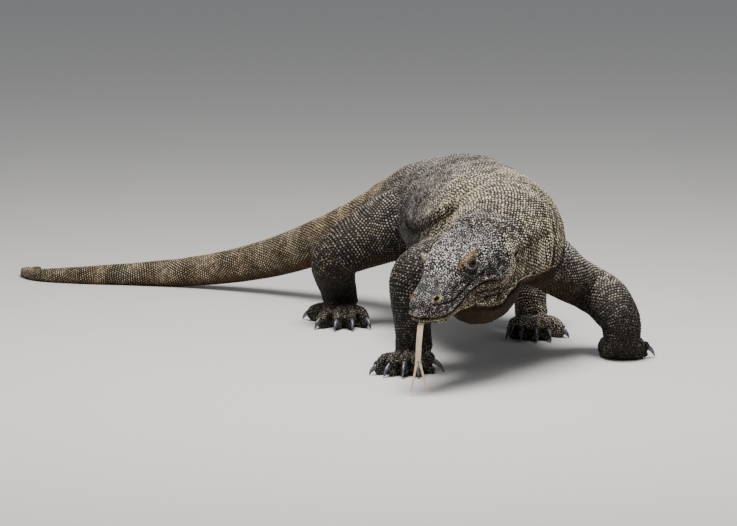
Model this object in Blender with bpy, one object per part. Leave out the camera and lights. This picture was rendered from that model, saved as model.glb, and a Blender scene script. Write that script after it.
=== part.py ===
"""A life-size Komodo dragon, walking, as a still museum model, modelled in Blender.

Metres, +Z up. The animal walks towards -Y, its tail swings to -X, and its left side is +X.
The flesh is lofted whole from sections along the spine and the limbs, grown together into one
closed body, thinned, and then parted with thin cuts into the pieces that a person would name.
Eyes, claws and tongue are pieces of their own. At the end everything is moved so that the
origin lies on the floor, under the middle of the box around the model.
"""

import math

import bmesh
import bpy
from mathutils import Matrix, Vector

# Driving sizes, in metres.
GAP = 0.0004  # clearance between any two neighbouring pieces
VOXEL = 0.003  # grain of the grid on which the lofts grow together
FLESH_TRIANGLES = 3400
HEAD = 0.224  # snout tip to ear opening
EYE = 0.0100  # radius of the eyeball
SINK = 0.002  # how far the soles reach under the floor before they are cut flat
UP = Vector((0, 0, 1))

# The spine, from the back of the skull to the tip of the tail:
# x, y, z of the middle, half width, height above the middle, depth below it, squareness.
SPINE = [
    (0.006, 0.000, 0.232, 0.062, 0.060, 0.066, 2.3),
    (0.026, 0.050, 0.238, 0.076, 0.072, 0.078, 2.2),
    (0.046, 0.110, 0.238, 0.092, 0.096, 0.078, 2.1),
    (0.061, 0.175, 0.234, 0.110, 0.117, 0.078, 2.1),
    (0.064, 0.230, 0.228, 0.120, 0.130, 0.078, 2.1),
    (0.046, 0.310, 0.220, 0.134, 0.144, 0.078, 2.1),
    (0.020, 0.400, 0.212, 0.133, 0.157, 0.076, 2.1),
    (-0.004, 0.480, 0.208, 0.127, 0.162, 0.072, 2.1),
    (-0.034, 0.565, 0.212, 0.106, 0.150, 0.072, 2.1),
    (-0.068, 0.650, 0.222, 0.089, 0.122, 0.072, 2.1),
    (-0.106, 0.730, 0.228, 0.074, 0.094, 0.068, 2.1),
    (-0.150, 0.805, 0.217, 0.061, 0.067, 0.066, 2.0),
    (-0.215, 0.890, 0.176, 0.050, 0.055, 0.056, 2.0),
    (-0.300, 0.980, 0.130, 0.041, 0.048, 0.048, 2.0),
    (-0.390, 1.060, 0.087, 0.035, 0.042, 0.042, 2.0),
    (-0.490, 1.130, 0.054, 0.030, 0.035, 0.036, 2.0),
    (-0.600, 1.180, 0.032, 0.025, 0.030, 0.030, 2.0),
    (-0.720, 1.208, 0.022, 0.020, 0.024, 0.0235, 2.0),
    (-0.830, 1.225, 0.0170, 0.015, 0.0190, 0.0185, 2.0),
    (-0.920, 1.262, 0.0115, 0.0105, 0.0140, 0.0130, 2.0),
    (-0.955, 1.340, 0.0080, 0.0075, 0.0095, 0.0095, 2.0),
    (-0.925, 1.415, 0.0050, 0.0050, 0.0060, 0.0065, 2.0),
]

# The head stands in its own axes. Stations in shares of HEAD: how far forward of the ears,
# middle height, half width, height above the middle, depth below it, squareness.
HEAD_AT = Vector((0.0125, 0.0200, 0.2260))
HEAD_FORWARD = Vector((-0.460, -0.827, -0.323))
HEAD_LEFT = Vector((0.876, -0.481, -0.018))
HEAD_RISE = HEAD_FORWARD.cross(HEAD_LEFT)
SKULL = [
    (-0.240, 0.020, 0.265, 0.240, 0.280, 2.2),
    (-0.100, 0.025, 0.300, 0.270, 0.280, 2.5),
    (0.050, 0.020, 0.315, 0.276, 0.262, 2.7),
    (0.200, 0.015, 0.300, 0.268, 0.235, 2.8),
    (0.340, 0.010, 0.276, 0.268, 0.205, 2.9),
    (0.470, 0.000, 0.252, 0.274, 0.180, 3.0),
    (0.600, -0.005, 0.206, 0.215, 0.162, 2.9),
    (0.720, -0.010, 0.180, 0.182, 0.148, 2.7),
    (0.830, -0.014, 0.168, 0.158, 0.136, 2.6),
    (0.910, -0.017, 0.150, 0.136, 0.120, 2.5),
    (0.980, -0.022, 0.114, 0.102, 0.090, 2.3),
    (1.020, -0.026, 0.066, 0.060, 0.055, 2.1),
    (1.036, -0.026, 0.030, 0.028, 0.026, 2.0),
]
EYE_AT = (0.462, 0.224, 0.216)
# The mouth runs back along the jaw and then, behind its corner, down through the throat.
MOUTH = [(1.16, -0.044), (0.95, -0.050), (0.80, -0.076), (0.64, -0.080), (0.48, -0.076),
         (0.34, -0.092), (0.27, -0.130), (0.235, -0.200), (0.22, -0.700)]

# Limbs, from inside the body down to the wrist or ankle:
# x, y, z of the middle, half width, half depth.
LIMBS = {
    "arm_right": [
        (0.012, 0.200, 0.215, 0.056, 0.060),
        (-0.044, 0.145, 0.208, 0.051, 0.054),
        (-0.086, 0.100, 0.202, 0.045, 0.048),
        (-0.108, 0.078, 0.184, 0.043, 0.046),
        (-0.112, 0.074, 0.152, 0.040, 0.042),
        (-0.110, 0.080, 0.112, 0.036, 0.037),
        (-0.107, 0.088, 0.075, 0.034, 0.031),
        (-0.106, 0.092, 0.045, 0.037, 0.030),
    ],
    "arm_left": [
        (0.110, 0.200, 0.222, 0.060, 0.060),
        (0.156, 0.246, 0.186, 0.052, 0.055),
        (0.196, 0.300, 0.150, 0.044, 0.049),
        (0.228, 0.338, 0.128, 0.042, 0.047),
        (0.254, 0.316, 0.116, 0.043, 0.046),
        (0.277, 0.272, 0.098, 0.042, 0.044),
        (0.290, 0.240, 0.076, 0.039, 0.037),
        (0.293, 0.236, 0.052, 0.037, 0.031),
        (0.294, 0.242, 0.030, 0.034, 0.026),
    ],
    "leg_right": [
        (-0.060, 0.670, 0.225, 0.078, 0.070),
        (-0.135, 0.664, 0.207, 0.074, 0.066),
        (-0.200, 0.655, 0.182, 0.063, 0.059),
        (-0.254, 0.640, 0.154, 0.052, 0.051),
        (-0.272, 0.644, 0.132, 0.046, 0.047),
        (-0.271, 0.664, 0.100, 0.041, 0.043),
        (-0.264, 0.686, 0.066, 0.036, 0.037),
        (-0.258, 0.690, 0.036, 0.034, 0.032),
    ],
    "leg_left": [
        (-0.060, 0.700, 0.245, 0.070, 0.070),
        (0.000, 0.690, 0.232, 0.064, 0.066),
        (0.056, 0.660, 0.214, 0.056, 0.058),
        (0.104, 0.632, 0.186, 0.048, 0.050),
        (0.116, 0.618, 0.150, 0.044, 0.046),
        (0.118, 0.600, 0.106, 0.038, 0.040),
        (0.120, 0.580, 0.066, 0.032, 0.034),
        (0.122, 0.565, 0.036, 0.032, 0.030),
    ],
}

# Where the flesh is parted into pieces: flat plates, given by middle, normal, half width and
# half height; cuts straight across a loft, given by the station and how far the plate reaches
# past the flesh; and one upright curtain, which follows the flank behind the left thigh.
PLATES = [
    ((0.020, 0.036, 0.205), (-0.10, -0.98, -0.20), 0.088, 0.130),  # head and neck
    ((0.048, 0.112, 0.225), (-0.26, -0.96, 0.05), 0.126, 0.124),  # neck and trunk
    ((-0.060, 0.130, 0.206), (-1, 0, 0), 0.082, 0.082),  # right shoulder
    ((0.189, 0.284, 0.160), (0.95, 0.20, -0.22), 0.072, 0.072),  # left shoulder
    ((0.232, 0.318, 0.128), (0.80, 0.20, -0.50), 0.066, 0.066),  # left elbow
    ((-0.166, 0.650, 0.200), (-0.976, -0.216, 0), 0.087, 0.090),  # right hip
    ((-0.265, 0.650, 0.137), (-0.45, 0.10, -0.89), 0.068, 0.068),  # right knee
]
TAIL_CUTS = (11, 13, 16, 18)
LIMB_CUTS = {"arm_right": (4, 6), "arm_left": (6,), "leg_right": (6,), "leg_left": (4, 6)}
PAST = 1.3
CURTAIN = [(0.141, 0.488), (0.124, 0.526), (0.098, 0.567), (0.075, 0.608), (0.058, 0.652),
           (0.047, 0.702), (0.040, 0.760)]
CURTAIN_LOW, CURTAIN_HIGH = 0.110, 0.310
# A point on the outside of every piece of flesh, by which the piece gets its name.
SEEDS = {
    "head": (-0.030, -0.085, 0.262),
    "lower_jaw": (-0.070, -0.115, 0.120),
    "neck": (0.030, 0.070, 0.315),
    "trunk": (0.010, 0.420, 0.370),
    "tail_base": (-0.200, 0.870, 0.240),
    "tail_middle": (-0.430, 1.090, 0.110),
    "tail_end": (-0.700, 1.205, 0.050),
    "tail_tip": (-0.940, 1.290, 0.025),
    "upper_arm_right": (-0.110, 0.070, 0.235),
    "forearm_right": (-0.145, 0.070, 0.110),
    "hand_right": (-0.118, 0.070, 0.045),
    "upper_arm_left": (0.210, 0.300, 0.190),
    "forearm_left": (0.310, 0.260, 0.120),
    "hand_left": (0.292, 0.290, 0.030),
    "thigh_right": (-0.220, 0.640, 0.245),
    "shank_right": (-0.310, 0.660, 0.100),
    "foot_right": (-0.250, 0.640, 0.040),
    "thigh_left": (0.095, 0.630, 0.250),
    "shank_left": (0.155, 0.600, 0.100),
    "foot_left": (0.127, 0.520, 0.045),
}

# Feet. Each sole is a pad between two points; each toe runs from its knuckle over a raised
# joint to its tip, and carries a claw that goes on in the same direction and bends down.
# Pad: rear x, y, front x, y, half width, height. Toes: knuckle x, y, tip x, y, half
# thickness, tip height, claw length.
FEET = {
    "hand_right": ((-0.106, 0.108, -0.120, 0.062, 0.037, 0.046), [
        (-0.148, 0.070, -0.177, 0.056, 0.0105, 0.014, 0.024),
        (-0.137, 0.056, -0.149, 0.038, 0.0115, 0.022, 0.030),
        (-0.120, 0.052, -0.123, 0.032, 0.0120, 0.024, 0.031),
        (-0.101, 0.054, -0.099, 0.033, 0.0115, 0.024, 0.030),
        (-0.084, 0.078, -0.070, 0.072, 0.0105, 0.024, 0.028),
    ]),
    "hand_left": ((0.293, 0.232, 0.293, 0.262, 0.037, 0.040), [
        (0.264, 0.258, 0.256, 0.294, 0.0105, 0.014, 0.024),
        (0.279, 0.266, 0.276, 0.308, 0.0110, 0.014, 0.028),
        (0.295, 0.268, 0.298, 0.312, 0.0115, 0.014, 0.030),
        (0.310, 0.262, 0.320, 0.302, 0.0110, 0.015, 0.030),
        (0.320, 0.244, 0.342, 0.264, 0.0105, 0.020, 0.028),
    ]),
    "foot_right": ((-0.262, 0.712, -0.250, 0.655, 0.036, 0.046), [
        (-0.284, 0.700, -0.326, 0.728, 0.0105, 0.014, 0.026),
        (-0.274, 0.650, -0.300, 0.614, 0.0120, 0.016, 0.028),
        (-0.258, 0.640, -0.266, 0.596, 0.0125, 0.018, 0.029),
        (-0.242, 0.640, -0.236, 0.598, 0.0120, 0.018, 0.028),
        (-0.226, 0.652, -0.208, 0.622, 0.0110, 0.018, 0.026),
    ]),
    "foot_left": ((0.118, 0.585, 0.126, 0.520, 0.036, 0.046), [
        (0.096, 0.520, 0.080, 0.486, 0.0110, 0.020, 0.026),
        (0.110, 0.506, 0.104, 0.468, 0.0120, 0.022, 0.028),
        (0.127, 0.502, 0.130, 0.460, 0.0125, 0.022, 0.029),
        (0.143, 0.506, 0.154, 0.468, 0.0120, 0.020, 0.028),
        (0.152, 0.535, 0.184, 0.512, 0.0115, 0.014, 0.026),
    ]),
}

# The tongue: x, y, z of the middle, half width, half thickness. It leaves the mouth, hangs
# down in front of the jaw and forks; the tips stay clear of the floor.
TONGUE = [
    (-0.0765, -0.1385, 0.1500, 0.0060, 0.0017),
    (-0.0870, -0.1565, 0.1405, 0.0064, 0.0018),
    (-0.0915, -0.1690, 0.1290, 0.0064, 0.0018),
    (-0.0930, -0.1760, 0.1130, 0.0064, 0.0018),
    (-0.0945, -0.1785, 0.0920, 0.0062, 0.0018),
    (-0.0955, -0.1790, 0.0660, 0.0060, 0.0017),
]
TINES = {
    "right": [
        (-0.0978, -0.1789, 0.0720, 0.0030, 0.0015),
        (-0.0990, -0.1790, 0.0600, 0.0029, 0.0015),
        (-0.1035, -0.1790, 0.0340, 0.0022, 0.0013),
        (-0.1095, -0.1790, 0.0060, 0.0009, 0.0008),
    ],
    "left": [
        (-0.0932, -0.1789, 0.0720, 0.0030, 0.0015),
        (-0.0918, -0.1788, 0.0600, 0.0029, 0.0015),
        (-0.0850, -0.1780, 0.0340, 0.0022, 0.0013),
        (-0.0775, -0.1770, 0.0090, 0.0009, 0.0008),
    ],
}

# Muscles and folds that the lofts alone leave out: two ends and the two half thicknesses
# there, all grown into the flesh.
MUSCLES = [
    ((0.000, 0.165, 0.216), (-0.040, 0.128, 0.208), 0.056, 0.050),  # right shoulder
    ((0.100, 0.170, 0.222), (0.142, 0.220, 0.194), 0.060, 0.052),  # left shoulder
    ((-0.092, 0.084, 0.196), (-0.108, 0.088, 0.172), 0.045, 0.043),  # right elbow
    ((-0.160, 0.660, 0.196), (-0.218, 0.650, 0.172), 0.067, 0.056),  # right thigh
    ((0.010, 0.675, 0.220), (0.075, 0.645, 0.198), 0.064, 0.056),  # left thigh
    ((0.002, -0.012, 0.160), (0.044, 0.078, 0.168), 0.058, 0.062),  # throat pouch
    ((0.010, 0.046, 0.205), (0.040, 0.110, 0.212), 0.068, 0.080),  # gullet
]


def clear_scene():
    for obj in list(bpy.data.objects):
        bpy.data.objects.remove(obj)


def mesh_object(name, bm):
    """A scene object from a bmesh, which is freed."""
    bmesh.ops.recalc_face_normals(bm, faces=bm.faces)
    mesh = bpy.data.meshes.new(name)
    bm.to_mesh(mesh)
    bm.free()
    obj = bpy.data.objects.new(name, mesh)
    bpy.context.scene.collection.objects.link(obj)
    return obj


def smooth_track(stations, spacing):
    """The stations with more set between them, on a curve through every column of numbers."""
    rows = []
    last = len(stations) - 1
    for i in range(last):
        before, here = stations[max(i - 1, 0)], stations[i]
        there, after = stations[i + 1], stations[min(i + 2, last)]
        steps = max(1, round(math.dist(here[:3], there[:3]) / spacing))
        for k in range(steps):
            t = k / steps
            rows.append(tuple(
                0.5 * (2 * b + (c - a) * t + (2 * a - 5 * b + 4 * c - d) * t * t
                       + (3 * b - a - 3 * c + d) * t**3)
                for a, b, c, d in zip(before, here, there, after)
            ))
    rows.append(tuple(stations[-1]))
    return rows


def tangent_at(rows, i):
    a, b = rows[max(i - 1, 0)], rows[min(i + 1, len(rows) - 1)]
    return (Vector(b[:3]) - Vector(a[:3])).normalized()


def section(middle, side, rise, half, above, below, square, sides):
    """The points of one ring: an ellipse, or squarer as the last number grows past 2."""
    points = []
    for k in range(sides):
        c, s = math.cos(math.tau * k / sides), math.sin(math.tau * k / sides)
        across = math.copysign(abs(c) ** (2 / square), c) * half
        high = math.copysign(abs(s) ** (2 / square), s) * (above if s > 0 else below)
        points.append(middle + side * across + rise * high)
    return points


def skin_over(name, rings):
    """A closed tube through the rings, with a flat cap at each end."""
    bm = bmesh.new()
    loops = [[bm.verts.new(p) for p in ring] for ring in rings]
    count = len(loops[0])
    for a, b in zip(loops, loops[1:]):
        for k in range(count):
            bm.faces.new((a[k], a[(k + 1) % count], b[(k + 1) % count], b[k]))
    bm.faces.new(loops[0][::-1])
    bm.faces.new(loops[-1])
    return mesh_object(name, bm)


def spine_rings(stations, spacing, sides, grow=1.0):
    """Rings that stand upright, square to the track."""
    rows = smooth_track(stations, spacing)
    rings = []
    for i, row in enumerate(rows):
        along = tangent_at(rows, i)
        side = along.cross(UP).normalized()
        half, above, below, square = (row[3] * grow, row[4] * grow, row[5] * grow, row[6])
        rings.append(section(Vector(row[:3]), side, side.cross(along), half, above, below,
                             square, sides))
    return rings


def carried_frames(rows, side):
    """A frame for each row, carried up from the last row without twist."""
    frames = []
    for i in reversed(range(len(rows))):
        along = tangent_at(rows, i)
        side = (side - along * side.dot(along)).normalized()
        frames.append((side, side.cross(along)))
    return frames[::-1]


def round_rings(stations, spacing, sides, side=Vector((0.956, 0.292, 0)), grow=1.0):
    rows = smooth_track(stations, spacing)
    return [
        section(Vector(row[:3]), across, rise, row[3] * grow, row[4] * grow, row[4] * grow,
                2.1, sides)
        for row, (across, rise) in zip(rows, carried_frames(rows, side))
    ]


def head_point(forward, left, high):
    """A point of the head, given in shares of HEAD along the head's own axes."""
    return HEAD_AT + (HEAD_FORWARD * forward + HEAD_LEFT * left + HEAD_RISE * high) * HEAD


def head_rings():
    rows = smooth_track([(a, 0.0, u, w, t, b, n) for a, u, w, t, b, n in SKULL], 0.035)
    return [
        section(head_point(a, 0, u), HEAD_LEFT, HEAD_RISE, w * HEAD, t * HEAD, b * HEAD, n, 28)
        for a, _, u, w, t, b, n in rows
    ]


def ellipsoid(name, first, last, thick_first, thick_last):
    """A muscle: an egg around the two points."""
    a, b = Vector(first), Vector(last)
    along = (b - a).normalized()
    side = along.orthogonal().normalized()
    rise = along.cross(side)
    reach = (b - a).length / 2
    middle = (a + b) / 2
    rings = []
    for k in range(1, 12):
        angle = math.pi * k / 12
        share = (1 - math.cos(angle)) / 2
        thick = thick_first + (thick_last - thick_first) * share
        centre = middle - along * math.cos(angle) * (reach + thick)
        half = thick * math.sin(angle)
        rings.append(section(centre, side, rise, half, half, half, 2.0, 16))
    return skin_over(name, rings)


def toe(name, knuckle, tip, thick, tip_height):
    """A toe that rises from its knuckle to a raised joint and comes down to its tip."""
    a = Vector((knuckle[0], knuckle[1], 0.030))
    b = Vector((tip[0], tip[1], tip_height))
    back = (a - b) * 0.35
    stations = [
        (*(a + Vector((back.x, back.y, 0))), thick * 1.25, thick * 1.20),
        (*(a.lerp(b, 0.30) + UP * 0.004), thick * 1.08, thick * 1.08),
        (*(a.lerp(b, 0.62) + UP * 0.005), thick * 1.00, thick * 1.02),
        (*a.lerp(b, 0.90), thick * 0.92, thick * 0.98),
        (*(a.lerp(b, 1.04) - UP * 0.002), thick * 0.60, thick * 0.66),
    ]
    side = (b - a).cross(UP).normalized()
    return skin_over(name, round_rings(stations, 0.006, 12, side))


def toe_pad(name, knuckle, tip, thick):
    """The cushion under a toe, which reaches under the floor and is cut flat there."""
    a = Vector((knuckle[0], knuckle[1], thick * 0.80 - SINK))
    b = Vector((tip[0], tip[1], thick * 0.80 - SINK))
    return ellipsoid(name, a, a.lerp(b, 0.86), thick * 0.95, thick * 0.80)


def claw(name, root, heading, length, thick, grow=0.0):
    """A horn claw that leaves the toe level and bends down to end just over the floor."""
    steps, rows = 4, []
    place = Vector(root)
    drop = root.z - 0.0008
    start, end = math.radians(8), math.radians(72)
    fall = sum(math.sin(start + (end - start) * (k + 0.5) / steps) for k in range(steps))
    stride = min(length / steps, drop / fall)
    for k in range(steps + 1):
        share = k / steps
        half = thick * (1 - share) ** 0.62 + 0.0007
        rows.append((*place, half * 0.72 + grow, half + grow))
        angle = start + (end - start) * (k + 0.5) / steps
        place = place + (heading * math.cos(angle) - UP * math.sin(angle)) * stride
    side = heading.cross(UP).normalized()
    rings = []
    for i, row in enumerate(rows):
        rise = side.cross(tangent_at(rows, i))
        rings.append(section(Vector(row[:3]), side, rise, row[3], row[4], row[4], 2.0, 6))
    return skin_over(name, rings)


def claw_root(knuckle, tip, tip_height):
    a, b = Vector((*knuckle, 0.030)), Vector((*tip, tip_height))
    heading = Vector((b.x - a.x, b.y - a.y, 0)).normalized()
    return b - heading * 0.004 + UP * 0.003, heading


def tongue_rings(rows, grow=0.0):
    """A flat ribbon of flesh: wide across the head, thin from front to back."""
    rings = []
    for i, row in enumerate(rows):
        along = tangent_at(rows, i)
        side = (HEAD_LEFT - along * HEAD_LEFT.dot(along)).normalized()
        rings.append(section(Vector(row[:3]), side, side.cross(along), row[3] + grow,
                             row[4] + grow, row[4] + grow, 2.2, 8))
    return rings


def boolean(obj, other, operation="DIFFERENCE"):
    """Cuts the other out of the object, or joins it on, for good, and removes the other."""
    modifier = obj.modifiers.new("Boolean", "BOOLEAN")
    modifier.operation = operation
    modifier.solver = "EXACT"
    modifier.object = other
    apply_modifiers(obj)
    bpy.data.objects.remove(other)


def apply_modifiers(obj):
    bpy.context.view_layer.update()
    graph = bpy.context.evaluated_depsgraph_get()
    mesh = bpy.data.meshes.new_from_object(obj.evaluated_get(graph))
    obj.modifiers.clear()
    old, obj.data = obj.data, mesh
    bpy.data.meshes.remove(old)


def join(name, objects):
    bm = bmesh.new()
    for obj in objects:
        bm.from_mesh(obj.data)
        bpy.data.objects.remove(obj)
    return mesh_object(name, bm)


def across(rings, i):
    """A plate of the width of the gap, with the outline of ring i."""
    ring = rings[i]
    middle = sum(ring, Vector()) / len(ring)
    normal = (ring[1] - middle).cross(ring[3] - middle).normalized() * GAP / 2
    return skin_over("blade", [[p - normal for p in ring], [p + normal for p in ring]])


def plate(at, normal, half, high):
    at, normal = Vector(at), Vector(normal).normalized()
    side = normal.cross(UP).normalized()
    return across([section(at, side, side.cross(normal), half, high, high, 3.0, 24)], 0)


def strip(corners):
    """A thin bent plate: each row gives a point, the way across and the way through it."""
    rings = []
    for at, wide, through in corners:
        through = through * GAP / 2
        rings.append([at - wide + through, at + wide + through, at + wide - through,
                      at - wide - through])
    return skin_over("blade", rings)


def mouth_corners(points, half_width):
    track = [head_point(a, 0, u) for a, u in points]
    wide = HEAD_LEFT * HEAD * half_width
    return [(at, wide, HEAD_LEFT.cross(tangent_at(track, i))) for i, at in enumerate(track)]


def curtain_corners(points):
    middle, half = (CURTAIN_HIGH + CURTAIN_LOW) / 2, (CURTAIN_HIGH - CURTAIN_LOW) / 2
    track = [Vector((x, y, middle)) for x, y in points]
    return [(at, UP * half, UP.cross(tangent_at(track, i))) for i, at in enumerate(track)]


def loose_parts(obj):
    """The vertex sets of the separate bodies in a mesh."""
    bm = bmesh.new()
    bm.from_mesh(obj.data)
    bm.verts.ensure_lookup_table()
    seen, parts = set(), []
    for start in bm.verts:
        if start.index in seen:
            continue
        stack, found = [start], []
        seen.add(start.index)
        while stack:
            vert = stack.pop()
            found.append(vert.index)
            for edge in vert.link_edges:
                other = edge.other_vert(vert)
                if other.index not in seen:
                    seen.add(other.index)
                    stack.append(other)
        parts.append(set(found))
    return bm, parts


def split_flesh(flesh, seeds):
    """Makes one object of each separate body of the flesh, named after the nearest seed."""
    whole, parts = loose_parts(flesh)
    names = {}
    for name, seed in seeds.items():
        near = min(
            range(len(parts)),
            key=lambda i: min((whole.verts[v].co - Vector(seed)).length for v in parts[i]),
        )
        if near in names:
            raise ValueError(f"{name} and {names[near]} are still one body")
        names[near] = name
    if len(parts) != len(names):
        raise ValueError(f"{len(parts)} bodies for {len(names)} names")
    made = {}
    for i, name in names.items():
        piece = whole.copy()
        piece.verts.ensure_lookup_table()
        drop = [v for v in piece.verts if v.index not in parts[i]]
        bmesh.ops.delete(piece, geom=drop, context="VERTS")
        made[name] = mesh_object(name, piece)
    whole.free()
    bpy.data.objects.remove(flesh)
    return made


clear_scene()

# The lofts of the flesh.
spine = spine_rings(SPINE, 0.012, 32)
limbs = {name: round_rings(rows, 0.010, 24) for name, rows in LIMBS.items()}
lofts = [skin_over("spine", spine), skin_over("skull", head_rings())]
lofts += [skin_over(name, rings) for name, rings in limbs.items()]
lofts += [ellipsoid("muscle", *row) for row in MUSCLES]
claws, claw_holes = {}, []
for foot, (pad, toes) in FEET.items():
    rear, front, half, high = Vector(pad[0:2]), Vector(pad[2:4]), pad[4], pad[5]
    track = [
        (*rear.lerp(front, t), high * h / 2 - SINK, half * w, high * h / 2)
        for t, h, w in ((-0.15, 0.75, 0.70), (0.15, 1.00, 0.92), (0.55, 0.92, 1.00),
                        (0.95, 0.78, 1.02), (1.15, 0.60, 0.85))
    ]
    side = Vector((front.x - rear.x, front.y - rear.y, 0)).cross(UP).normalized()
    lofts.append(skin_over("pad", round_rings(track, 0.008, 20, side)))
    for number, (kx, ky, tx, ty, thick, tip_height, reach) in enumerate(toes, start=1):
        lofts.append(toe("toe", (kx, ky), (tx, ty), thick, tip_height))
        lofts.append(toe_pad("toe_pad", (kx, ky), (tx, ty), thick))
        root, heading = claw_root((kx, ky), (tx, ty), tip_height)
        horn = thick * 0.62
        claws[f"claw_{foot}_{number}"] = claw("claw", root, heading, reach * 1.35, horn)
        claw_holes.append(claw("hole", root - heading * 0.0004, heading, reach * 1.35, horn,
                               GAP))

# They grow together, are smoothed and thinned, and lose what lies under the floor.
flesh = join("flesh", lofts)
grown = flesh.modifiers.new("Grow together", "REMESH")
grown.mode = "VOXEL"
grown.voxel_size = VOXEL
smooth = flesh.modifiers.new("Smooth", "SMOOTH")
smooth.factor = 0.5
smooth.iterations = 6
apply_modifiers(flesh)
thinned = flesh.modifiers.new("Thin out", "DECIMATE")
thinned.ratio = FLESH_TRIANGLES / (2 * len(flesh.data.polygons))
apply_modifiers(flesh)

floor = skin_over("floor", [
    [Vector((x, y, z)) for x, y in ((-2, -2), (2, -2), (2, 3), (-2, 3))] for z in (-0.5, 0.0)
])
boolean(flesh, floor)

# The eyes, the tongue and the horn, each in a socket of its own.
eyes = {}
for side_name, sign in (("left", 1), ("right", -1)):
    centre = head_point(EYE_AT[0], sign * EYE_AT[1], EYE_AT[2])
    for name, radius in ((f"eye_{side_name}", EYE), ("socket", EYE + GAP)):
        bm = bmesh.new()
        bmesh.ops.create_uvsphere(bm, u_segments=12, v_segments=8, radius=radius,
                                  matrix=Matrix.Translation(centre))
        ball = mesh_object(name, bm)
        if name == "socket":
            boolean(flesh, ball)
        else:
            eyes[name] = ball

tongue = join("tongue", [skin_over("tongue", tongue_rings(smooth_track(TONGUE, 0.012)))])
for rows in TINES.values():
    tine = skin_over("tine", tongue_rings(smooth_track(rows, 0.012)))
    boolean(tongue, tine, "UNION")
boolean(flesh, skin_over("mouth", tongue_rings(smooth_track(TONGUE[:4], 0.012), GAP)))
for hole in claw_holes:
    boolean(flesh, hole)

# The cuts that part the flesh.
blades = [strip(mouth_corners(MOUTH, 0.36)), strip(curtain_corners(CURTAIN))]
blades += [plate(*row) for row in PLATES]
blades += [across(spine_rings(SPINE, 10, 24, PAST), k) for k in TAIL_CUTS]
for name, stations in LIMB_CUTS.items():
    blades += [across(round_rings(LIMBS[name], 10, 16, grow=PAST), k) for k in stations]
for thin in blades:
    boolean(flesh, thin)
pieces = split_flesh(flesh, SEEDS)

# Materials, one of its own for each piece.
COLOURS = {
    "flesh": (0.16, 0.14, 0.12, 0.75),
    "claw": (0.05, 0.05, 0.055, 0.35),
    "eye": (0.02, 0.012, 0.008, 0.08),
    "tongue": (0.62, 0.47, 0.31, 0.45),
}
named = {**pieces, **eyes, **claws, "tongue": tongue}
for name, obj in named.items():
    obj.name = name
    kind = name.split("_")[0]
    red, green, blue, rough = COLOURS[kind if kind in COLOURS else "flesh"]
    material = bpy.data.materials.new(name)
    material.use_nodes = True
    shader = material.node_tree.nodes["Principled BSDF"]
    shader.inputs["Base Color"].default_value = (red, green, blue, 1)
    shader.inputs["Roughness"].default_value = rough
    obj.data.materials.clear()
    obj.data.materials.append(material)

# The origin comes to the floor, under the middle of the box around everything.
points = [v.co for obj in named.values() for v in obj.data.vertices]
low = Vector(min(p[i] for p in points) for i in range(3))
high = Vector(max(p[i] for p in points) for i in range(3))
shift = Vector((-(low.x + high.x) / 2, -(low.y + high.y) / 2, -low.z))
for obj in named.values():
    obj.data.transform(Matrix.Translation(shift))
print("shift", tuple(round(c, 6) for c in shift), "size", tuple(high - low))
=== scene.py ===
import math
import random

import bmesh
import bpy
import numpy as np
from mathutils import Matrix, Vector, noise
from mathutils.bvhtree import BVHTree
from mathutils.kdtree import KDTree


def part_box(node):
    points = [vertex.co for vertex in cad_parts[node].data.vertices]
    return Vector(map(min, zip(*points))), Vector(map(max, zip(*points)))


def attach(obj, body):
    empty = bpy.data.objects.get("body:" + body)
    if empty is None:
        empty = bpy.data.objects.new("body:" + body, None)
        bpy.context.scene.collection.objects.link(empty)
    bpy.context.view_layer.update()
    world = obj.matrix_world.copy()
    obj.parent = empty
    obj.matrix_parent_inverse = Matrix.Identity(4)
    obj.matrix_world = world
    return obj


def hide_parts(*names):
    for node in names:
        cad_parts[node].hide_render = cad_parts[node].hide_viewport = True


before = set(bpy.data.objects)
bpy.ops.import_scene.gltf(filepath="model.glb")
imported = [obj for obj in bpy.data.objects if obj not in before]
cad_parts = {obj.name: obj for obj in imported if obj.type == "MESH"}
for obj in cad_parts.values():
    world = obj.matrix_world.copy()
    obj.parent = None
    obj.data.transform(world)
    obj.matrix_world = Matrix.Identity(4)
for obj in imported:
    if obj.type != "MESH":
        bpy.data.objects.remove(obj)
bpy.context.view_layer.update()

# ---- The build of the body ----
# The runs on which everything lies: the spine from skull to tail tip, and the bones of the four
# legs. They are measured from a point on the floor under the back of the skull.
SKULL_BACK = Vector((0.3009, -0.6170, 0.0))
SPINE = [  # x, y, z, half width, half height
    (0.006, 0.000, 0.232, 0.062, 0.063), (0.026, 0.050, 0.238, 0.076, 0.075),
    (0.046, 0.110, 0.247, 0.092, 0.087), (0.061, 0.175, 0.253, 0.110, 0.097),
    (0.064, 0.230, 0.254, 0.120, 0.104), (0.046, 0.310, 0.253, 0.134, 0.111),
    (0.020, 0.400, 0.252, 0.133, 0.116), (-0.004, 0.480, 0.253, 0.127, 0.117),
    (-0.034, 0.565, 0.251, 0.106, 0.111), (-0.068, 0.650, 0.247, 0.089, 0.097),
    (-0.106, 0.730, 0.241, 0.074, 0.081), (-0.150, 0.805, 0.217, 0.061, 0.067),
    (-0.215, 0.890, 0.176, 0.050, 0.055), (-0.300, 0.980, 0.130, 0.041, 0.048),
    (-0.390, 1.060, 0.087, 0.035, 0.042), (-0.490, 1.130, 0.054, 0.030, 0.035),
    (-0.600, 1.180, 0.032, 0.025, 0.030), (-0.720, 1.208, 0.022, 0.020, 0.024),
    (-0.830, 1.225, 0.017, 0.015, 0.019), (-0.920, 1.262, 0.0115, 0.0105, 0.014),
    (-0.955, 1.340, 0.008, 0.0075, 0.0095), (-0.925, 1.415, 0.005, 0.005, 0.006),
]
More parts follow.
